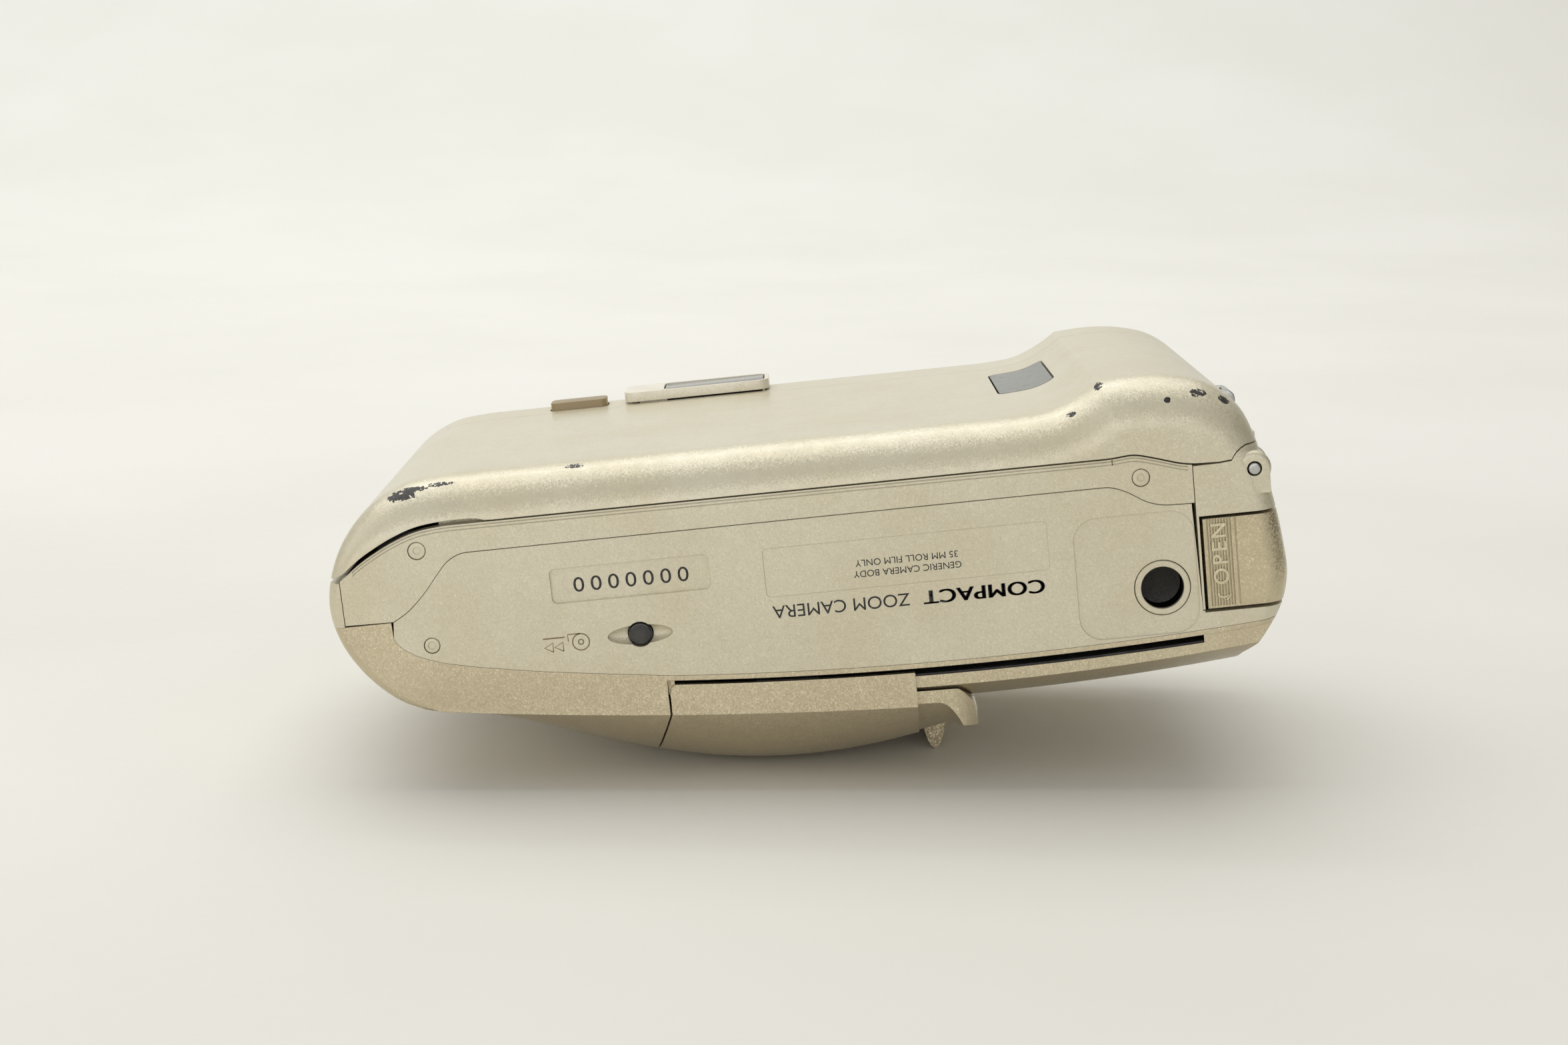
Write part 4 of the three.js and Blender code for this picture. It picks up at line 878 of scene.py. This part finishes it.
WINDOWS = (
    ("finder", 1.2, GLASS, "clear"),
    ("focus", 1.2, BLACK_FINE, "black_gloss"),
    ("flash", 1.5, GLASS, "clear"),
)
WINDOW_GAP = 0.3


def window_zone(name, gap, corner, top):
    (x0, x1), (y0, y1) = span(f"{name}_window", 0), span(f"{name}_window", 1)
    return prism_z(rounded(x0 - gap, x1 + gap, y0 - gap, y1 + gap, corner), -5, top)


front = cut(
    shell_part(front_zone),
    prism_y(slot_line, -FAR, BASE_Y + WALL + 6),
    prism_y(slot_line, TOP_Y - WALL - 6, FAR),
    rod("Z", LENS_X, LENS_Y, LENS_HOLE, -5, 22, 128),
    *[window_zone(name, WINDOW_GAP, corner, 19.5) for name, corner, _, _ in WINDOWS],
)
done(front, "front_cover_skin", "camera_body", FRONT_PAINTED_SHADE, ("front_cover",))
for name, corner, material, slot in WINDOWS:
    pane = shell_part(window_zone(name, 0.0, corner - 0.2, 19.0))
    done(pane, f"{name}_pane", "camera_body", material, (f"{name}_window",))

# ------------------------------------------------------------------ top cover
top = shell_part(block(-FAR, FAR, SPLIT_Y + HALF_SEAM, FAR, SPLIT_Z + HALF_SEAM, FAR))
top = cut(
    top,
    block(-22.9, -3.9, 21.2, 27.8, 40, 55),
    prism_y(rounded(-13, 9, 26, 37, 1.5), TOP_Y - 1.0, TOP_Y + 1),
    rod("Y", SHUTTER_X, SHUTTER_Z, 4.45, 20, FAR),
    prism_z(rounded(-35.8, -27.2, 21.4, 25.6, 1), 42, 60),
    *[rod("Y", x, z, 2.5, 20, FAR) for x, _, z in (centre("mode_button_1"), centre("mode_button_2"))],
)
done(top, "top_cover_skin", "camera_body", SHELL, ("top_cover",))


# ------------------------------------------------------------------ lens barrier
def domed(ends, half, top, surface):
    """Everything between the dome's surface and a flat top, from one end to the other."""
    rings = []
    for y in rows(90, HALF - half):
        left, right = ends(y)
        ring = [(x, y, surface(x, crown(y, half))) for x in np.linspace(left, right, 48)]
        rings.append(ring + [(right, y, top), (left, y, top)])
    return loft("domed", rings)


def end_drop(x):
    """How far the crease moves towards the lens side at the barrier's rounded right end."""
    return min(0.38 * max(x - 15, 0.0) ** 2, 3.2)


def outside_skin(x, rise):
    return crease(x) - end_drop(x) - (bulge(x) - end_drop(x)) * rise


def inside_skin(x, rise):
    return crease(x) - end_drop(x) + 0.8 - (bulge(x) - end_drop(x) - 0.4) * rise


def under_plate():
    """Everything behind the face that the barrier slides over."""
    rings = []
    for y in rows(96, 0.9):
        line = [(-40, y, 40), (-40, y, plate(11.5, y) - 0.35)]
        line += [(x, y, plate(x, y) - 0.35) for x in np.linspace(11.5, 40, 24)]
        rings.append(line + [(40, y, 40)])
    return loft("cut", rings)


def barrier_side():
    """Side outline of the barrier, which ends in a hooked finger grip on the right."""
    hook = ((20, 9.6), (19.6, 10.6), (19.0, 11.6), (17.8, 12.9), (16.4, 13.6), (15.2, 13.8), (12.4, 13.7))
    corner = [(FLANGE_RIGHT, 15.6), (FLANGE_RIGHT, rail(FLANGE_RIGHT, 0.55)), (11.0, rail(11.0, 0.55))]
    line = [(-23.3, -FAR), (FAR, -FAR), (FAR, 9)]
    line += [tuple(q) for q in smooth_curve(hook, 5)]
    line += [(FLANGE_RIGHT + 0.01, 13.7), (FLANGE_RIGHT, 15.6)]
    line += eased(corner, 0.7)[1:-1]
    line += rail_line(-18.1, 10.9, 0.55)[::-1]
    line += [(-18.8, 17.2), (-19.05, 16.4), (-19.05, 14.7), (-23.3, 14.4)]
    return prism_y(line, -FAR, FAR)


def finger_ridge():
    """The bar across the barrier that a finger pushes."""
    crest = ((12.7, 4.8), (13.25, 2.9), (13.9, 0.8), (14.6, 0.0), (15.4, 0.8), (16.2, 2.9), (16.8, 4.8))
    section = [(12.2, 7)] + [tuple(q) for q in smooth_curve(crest, 5)] + [(17.3, 7)]
    reach = (MID_Y - 11.5, MID_Y + 11.5)
    return common(prism_y(section, *reach), prism_z(rounded(11, 19, *reach, 3.6), -1, 6.6))


def barrier():
    body = join(
        domed(lambda y: (barrier_left(y) + CLEAR, FLANGE_RIGHT), HALF, 22, outside_skin),
        common(
            domed(lambda y: (11.1, BARRIER_RIGHT), HALF - 1.5, 22, outside_skin),
            prism_z(rounded(6.3, BARRIER_RIGHT, BASE_Y + 1.5, TOP_Y - 1.5, 3), -5, 30),
        ),
    )
    room = join(
        domed(lambda y: (barrier_left(y) - 4, 11.4), HALF - 0.9, 30, inside_skin),
        domed(lambda y: (10.9, 17.5), HALF - 2.4, 30, inside_skin),
    )
    body = common(cut(body, room), barrier_side())
    return join(cut(body, under_plate()), finger_ridge())


def barrier_tongue(side, face):
    """The tongue that runs in one rail, with its lip behind the wall."""
    pieces = []
    for high, low, a, b in ((0.5, 0.9, 0.7, 2.9), (-0.6, 0.9, 2.1, 2.88)):
        line = rail_line(-8, 0, high) + rail_line(-8, 0, low)[::-1]
        pieces.append(prism_y(line, *sorted((face - side * a, face - side * b))))
    return join(*pieces)


done(barrier(), "lens_barrier_skin", "lens_barrier", FRONT_PAINTED_SHADE, ("lens_barrier",))
done(barrier_tongue(-1, BASE_Y), "barrier_tongue_low", "lens_barrier", BLACK)
done(barrier_tongue(1, TOP_Y), "barrier_tongue_high", "lens_barrier", BLACK)


# ------------------------------------------------------------------ small parts kept close to the CAD
def refined(node, material, body, bevel):
    """A bevelled, finely shaded copy of a CAD node."""
    twin = copy(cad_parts[node], f"{node}_fine")
    bm = bmesh.new()
    bm.from_mesh(twin.data)
    bmesh.ops.remove_doubles(bm, verts=bm.verts, dist=1e-6)
    bmesh.ops.dissolve_limit(bm, angle_limit=math.radians(1.0), verts=bm.verts, edges=bm.edges)
    bm.to_mesh(twin.data)
    bm.free()
    soften = twin.modifiers.new("soften", "BEVEL")
    soften.width = bevel * MM
    soften.segments = 3
    soften.limit_method = "ANGLE"
    soften.angle_limit = math.radians(40)
    graph = bpy.context.evaluated_depsgraph_get()
    mesh = bpy.data.meshes.new_from_object(twin.evaluated_get(graph))
    twin.modifiers.clear()
    twin.data = mesh
    return done(twin, twin.name, body, material, (node,))


for node, material, slot, body in (
    ("door_hook", STEEL, "steel", "film_door"),
    ("pressure_plate", BLACK, "black", "pressure_plate"),
    ("door_release", SHELL, "shell", "door_release"),
    ("strap_lug", STEEL, "steel", "camera_body"),
    ("battery_door_pin", STEEL, "steel", "battery_door"),
    ("battery_box", BLACK, "black", "camera_body"),
    ("battery", CELL, "cell", "camera_body"),
    ("battery_contact_low", BRASS, "brass", "camera_body"),
    ("battery_contact_high", BRASS, "brass", "camera_body"),
    ("lens_mount", BLACK, "black", "camera_body"),
    ("zoom_barrel", BLACK, "black", "camera_body"),
    ("front_barrel", BLACK_FINE, "black_gloss", "camera_body"),
    ("front_element", COATED, "clear", "camera_body"),
    ("shutter_unit", BLACK, "black", "camera_body"),
    ("rear_element", GLASS, "clear", "camera_body"),
    ("gate_frame", BLACK, "black", "camera_body"),
    ("cassette_room", BLACK, "black", "camera_body"),
    ("spool_room", BLACK, "black", "camera_body"),
    ("takeup_spool", BLACK, "black", "takeup_spool"),
    ("wind_motor", STEEL, "steel", "camera_body"),
    ("sprocket_roller", BLACK, "black", "sprocket_roller"),
    ("rewind_fork", BLACK, "black", "rewind_fork"),
    ("film_rail_1", STEEL, "steel", "camera_body"),
    ("film_rail_2", STEEL, "steel", "camera_body"),
    ("film_code_contacts", BRASS, "brass", "camera_body"),
    ("light_seal_hinge_side", FOAM, "foam", "camera_body"),
    ("main_board", CIRCUIT, "circuit", "camera_body"),
    ("zoom_motor", STEEL, "steel", "camera_body"),
    ("flash_capacitor", BLACK_FINE, "black_gloss", "camera_body"),
    ("flash_reflector", STEEL, "steel", "camera_body"),
    ("flash_tube", GLASS, "clear", "camera_body"),
    ("finder_tube", BLACK, "black", "camera_body"),
    ("eyepiece_frame", PALE, "shell", "camera_body"),
    ("eyepiece_lens", BLACK_FINE, "black_gloss", "camera_body"),
    ("display_window", SMOKE, "smoke", "camera_body"),
    ("mode_button_1", BLACK, "black", "mode_button_1"),
    ("mode_button_2", BLACK, "black", "mode_button_2"),
    ("shutter_button", EDGE, "shell", "shutter_button"),
    ("zoom_lever", BLACK, "black", "zoom_lever"),
    ("back_button", TAN, "tan", "back_button"),
):
    thin = "film_rail" in node or "contact" in node
    refined(node, material, body, 0.04 if thin else 0.15)


def leaf_spring():
    """The spring behind the pressure plate: a bevelled copy of the CAD node, with its placement baked into
    the mesh and no body to mount it on.
    """
    spring = refined("pressure_spring", BRASS, None, 0.1)
    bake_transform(spring)


leaf_spring()


# ------------------------------------------------------------------ printing on the base
def lettering(
    text, x, z, height, material, *, bold=0.0, spacing=1.0, width=1.0, face_y=BASE_Y, lift=0.012, turn=180.0,
    body="camera_body", tag="",
):
    """Flat lettering on the base; turn is its angle as seen from the base with +Z up."""
    curve = bpy.data.curves.new(text, "FONT")
    curve.body = text
    curve.size = height / 0.7 * MM
    curve.align_x, curve.align_y = "CENTER", "CENTER"
    curve.space_character = spacing
    curve.offset = bold * MM
    curve.extrude = 0.01 * MM
    curve.resolution_u = 6
    label = bpy.data.objects.new(text, curve)
    SCENE.collection.objects.link(label)
    label.matrix_world = (
        Matrix.Translation(Vector((x, face_y - lift, z)) * MM)
        @ Matrix.Rotation(math.radians(90), 4, "X")
        @ Matrix.Rotation(math.radians(turn), 4, "Z")
        @ Matrix.Diagonal((width, 1, 1, 1))
    )
    graph = bpy.context.evaluated_depsgraph_get()
    mesh = bpy.data.meshes.new_from_object(label.evaluated_get(graph))
    mesh.transform(label.matrix_world)
    bpy.data.objects.remove(label)
    piece = bpy.data.objects.new("print_" + text.replace(" ", "_") + tag, mesh)
    SCENE.collection.objects.link(piece)
    return done(piece, piece.name, body, material)


number_floor, notice_floor = BASE_Y + NUMBER_PANEL_DEPTH, BASE_Y + NOTICE_PANEL_DEPTH
lettering("0000000", -22.4, 31.9, 1.9, INK, spacing=1.42, face_y=number_floor, width=1.15)
for k in (-1, 0, 1):
    lettering("COMPACT", 22.0 + 0.11 * k, 25.8, 1.75, INK, width=1.25, spacing=1.05, tag=f"_{k + 2}")
lettering("ZOOM CAMERA", 3.8, 25.8, 1.65, INK, width=1.02)
lettering("35 MM ROLL FILM ONLY", 12.6, 31.0, 0.85, INK, face_y=notice_floor)
lettering("GENERIC CAMERA BODY", 12.6, 29.6, 0.85, INK, face_y=notice_floor)
lettering(
    "OPEN", 52.1, 27.6, 1.9, EDGE, bold=0.05, turn=90.0, spacing=1.25, lift=0.04,
    body="battery_door",
)


def ring_mark(x, z, r, w, name):
    """A flat printed ring of outer radius r and line width w."""
    profile = [(r - w, BASE_Y - 0.02), (r, BASE_Y - 0.02), (r, BASE_Y + 0.01), (r - w, BASE_Y + 0.01)]
    return done(turned(name, "Y", x, z, profile), name, "camera_body", BROWN)


def stroke(name, points, width, body="camera_body", material=BROWN, face=BASE_Y):
    """A flat printed line through the points."""
    left, right = [], []
    for i, (x, z) in enumerate(points):
        a, b = Vector(points[max(i - 1, 0)]), Vector(points[min(i + 1, len(points) - 1)])
        d = (b - a).normalized() * width / 2
        left.append((x - d.y, z + d.x))
        right.append((x + d.y, z - d.x))
    line = prism_y(left + right[::-1], face - 0.02, face + 0.01, name)
    return done(line, name, body, material)


ring_mark(-29.6, 24.4, 1.15, 0.16, "mark_cassette")
ring_mark(-29.6, 24.4, 0.4, 0.16, "mark_cassette_core")
stroke("mark_flag", [(-29.6, 25.5), (-31.2, 25.5), (-31.2, 24.6)], 0.15)
for i, x in enumerate((-31.9, -33.2)):
    stroke(f"mark_wind_{i + 1}", [(x, 23.4), (x - 1.1, 24.0), (x, 24.6), (x, 23.4)], 0.13)
stroke("mark_bar", [(-31.6, 25.2), (-34.4, 25.2)], 0.18)
arrow = [(51.4, 22.5), (51.7, 22.0), (52.3, 21.9), (53.1, 22.3), (52.5, 21.5)]
stroke("open_arrow", arrow, 0.25, "battery_door", EDGE, BASE_Y - 0.02)

# ------------------------------------------------------------------ stage, camera and light
LEAN = math.radians(5.82)
UP = Vector((math.sin(LEAN), 0.0, math.cos(LEAN)))
RIGHT = Vector((math.cos(LEAN), 0.0, -math.sin(LEAN)))
AHEAD = Vector((0.0, 1.0, 0.0))
TILT = math.radians(11)


def stage_point(u, v, w):
    """A point u along the floor to the right, v away from the viewer and w above the floor, in metres."""
    return Vector((0.0146, 0.0, 0.0)) + RIGHT * u + AHEAD * v + UP * w


def backdrop():
    """A pale paper floor that curves up behind the camera."""
    line = [(-1.6, 0.0), (-0.8, 0.0), (-0.3, 0.0), (0.3, 0.0), (0.7, 0.0)]
    for k in range(1, 25):
        a = math.radians(90 * k / 24)
        line.append((0.7 + 0.9 * math.sin(a), 0.9 * (1 - math.cos(a))))
    line += [(1.6, 1.6), (1.6, 2.4)]
    verts, faces = [], []
    for u in np.linspace(-2.5, 2.5, 9):
        verts += [tuple(stage_point(u, v, w) / MM) for v, w in line]
    n = len(line)
    for i in range(8):
        for j in range(n - 1):
            faces.append((i * n + j, i * n + j + 1, (i + 1) * n + j + 1, (i + 1) * n + j))
    mesh = bpy.data.meshes.new("backdrop")
    mesh.from_pydata([tuple(c * MM for c in v) for v in verts], [], faces)
    sweep = bpy.data.objects.new("backdrop", mesh)
    SCENE.collection.objects.link(sweep)
    for polygon in mesh.polygons:
        polygon.use_smooth = True
    p = Paint("backdrop_paper")
    shade = p.ramp(p.noise(160, 3.0), 0.3, 0.7)
    p.set("Base Color", p.mix(shade, rgb(236, 234, 227), rgb(231, 229, 221)))
    p.set("Roughness", p.ramp(p.noise(2.0, 4.0), 0.3, 0.7, 0.6, 0.75))
    mesh.materials.append(p.material)
    return sweep


backdrop()


def flag():
    """A dark card out of view on the right, which the metallic paint picks up."""
    outline = ((-0.35, 0.02), (0.35, 0.02), (0.35, 0.5), (-0.35, 0.5))
    corners = [stage_point(0.62, v, w) / MM for v, w in outline]
    thick = [c + RIGHT * 4 for c in corners]
    card = loft("flag", [[tuple(c) for c in corners], [tuple(c) for c in thick]])
    card.data.materials.append(FLAG)
    return card


flag()

camera_data = bpy.data.cameras.new("photo_camera")
camera_data.lens = 58.316
camera_data.sensor_width = 36
camera_data.clip_end = 20
camera = bpy.data.objects.new("photo_camera", camera_data)
SCENE.collection.objects.link(camera)
forward = AHEAD * math.cos(TILT) - UP * math.sin(TILT)
image_up = UP * math.cos(TILT) + AHEAD * math.sin(TILT)
camera.matrix_world = (
    Matrix.Translation(Vector((3.83, -346.1, 97.9)) * MM)
    @ Matrix((RIGHT, image_up, -forward)).transposed().to_4x4()
)
SCENE.camera = camera


def area(name, place, target, size, power, colour=(1.0, 1.0, 1.0)):
    """A rectangular lamp at a stage point, turned to another one."""
    data = bpy.data.lights.new(name, "AREA")
    data.shape = "RECTANGLE"
    data.size, data.size_y = size
    data.energy = power
    data.color = colour
    lamp = bpy.data.objects.new(name, data)
    SCENE.collection.objects.link(lamp)
    lamp.location = stage_point(*place)
    lamp.rotation_euler = (stage_point(*target) - lamp.location).to_track_quat("-Z", "Y").to_euler()
    return lamp


area("overhead", (-0.22, 0.4, 1.1), (-0.08, 0.05, 0), (1.6, 1.2), 9.3, (1.0, 0.998, 0.992))
area("left_side", (-1.2, -0.3, 0.6), (0, 0, 0.03), (0.8, 0.8), 1.5)
area("front_fill", (-0.25, -1.3, 0.32), (0, 0, 0.03), (1.6, 0.5), 4.1, (1.0, 0.99, 0.985))
area("back_wash", (-0.3, 0.7, 1.2), (-0.15, 1.5, 0.4), (0.6, 0.4), 3.2, (0.88, 0.95, 1.0))
world = bpy.data.worlds.new("studio")
world.use_nodes = True
world.node_tree.nodes["Background"].inputs[0].default_value = (1.0, 0.99, 0.97, 1.0)
world.node_tree.nodes["Background"].inputs[1].default_value = 0.47
SCENE.world = world
SCENE.view_settings.view_transform = "Standard"

discard(shell)
discard(inner)
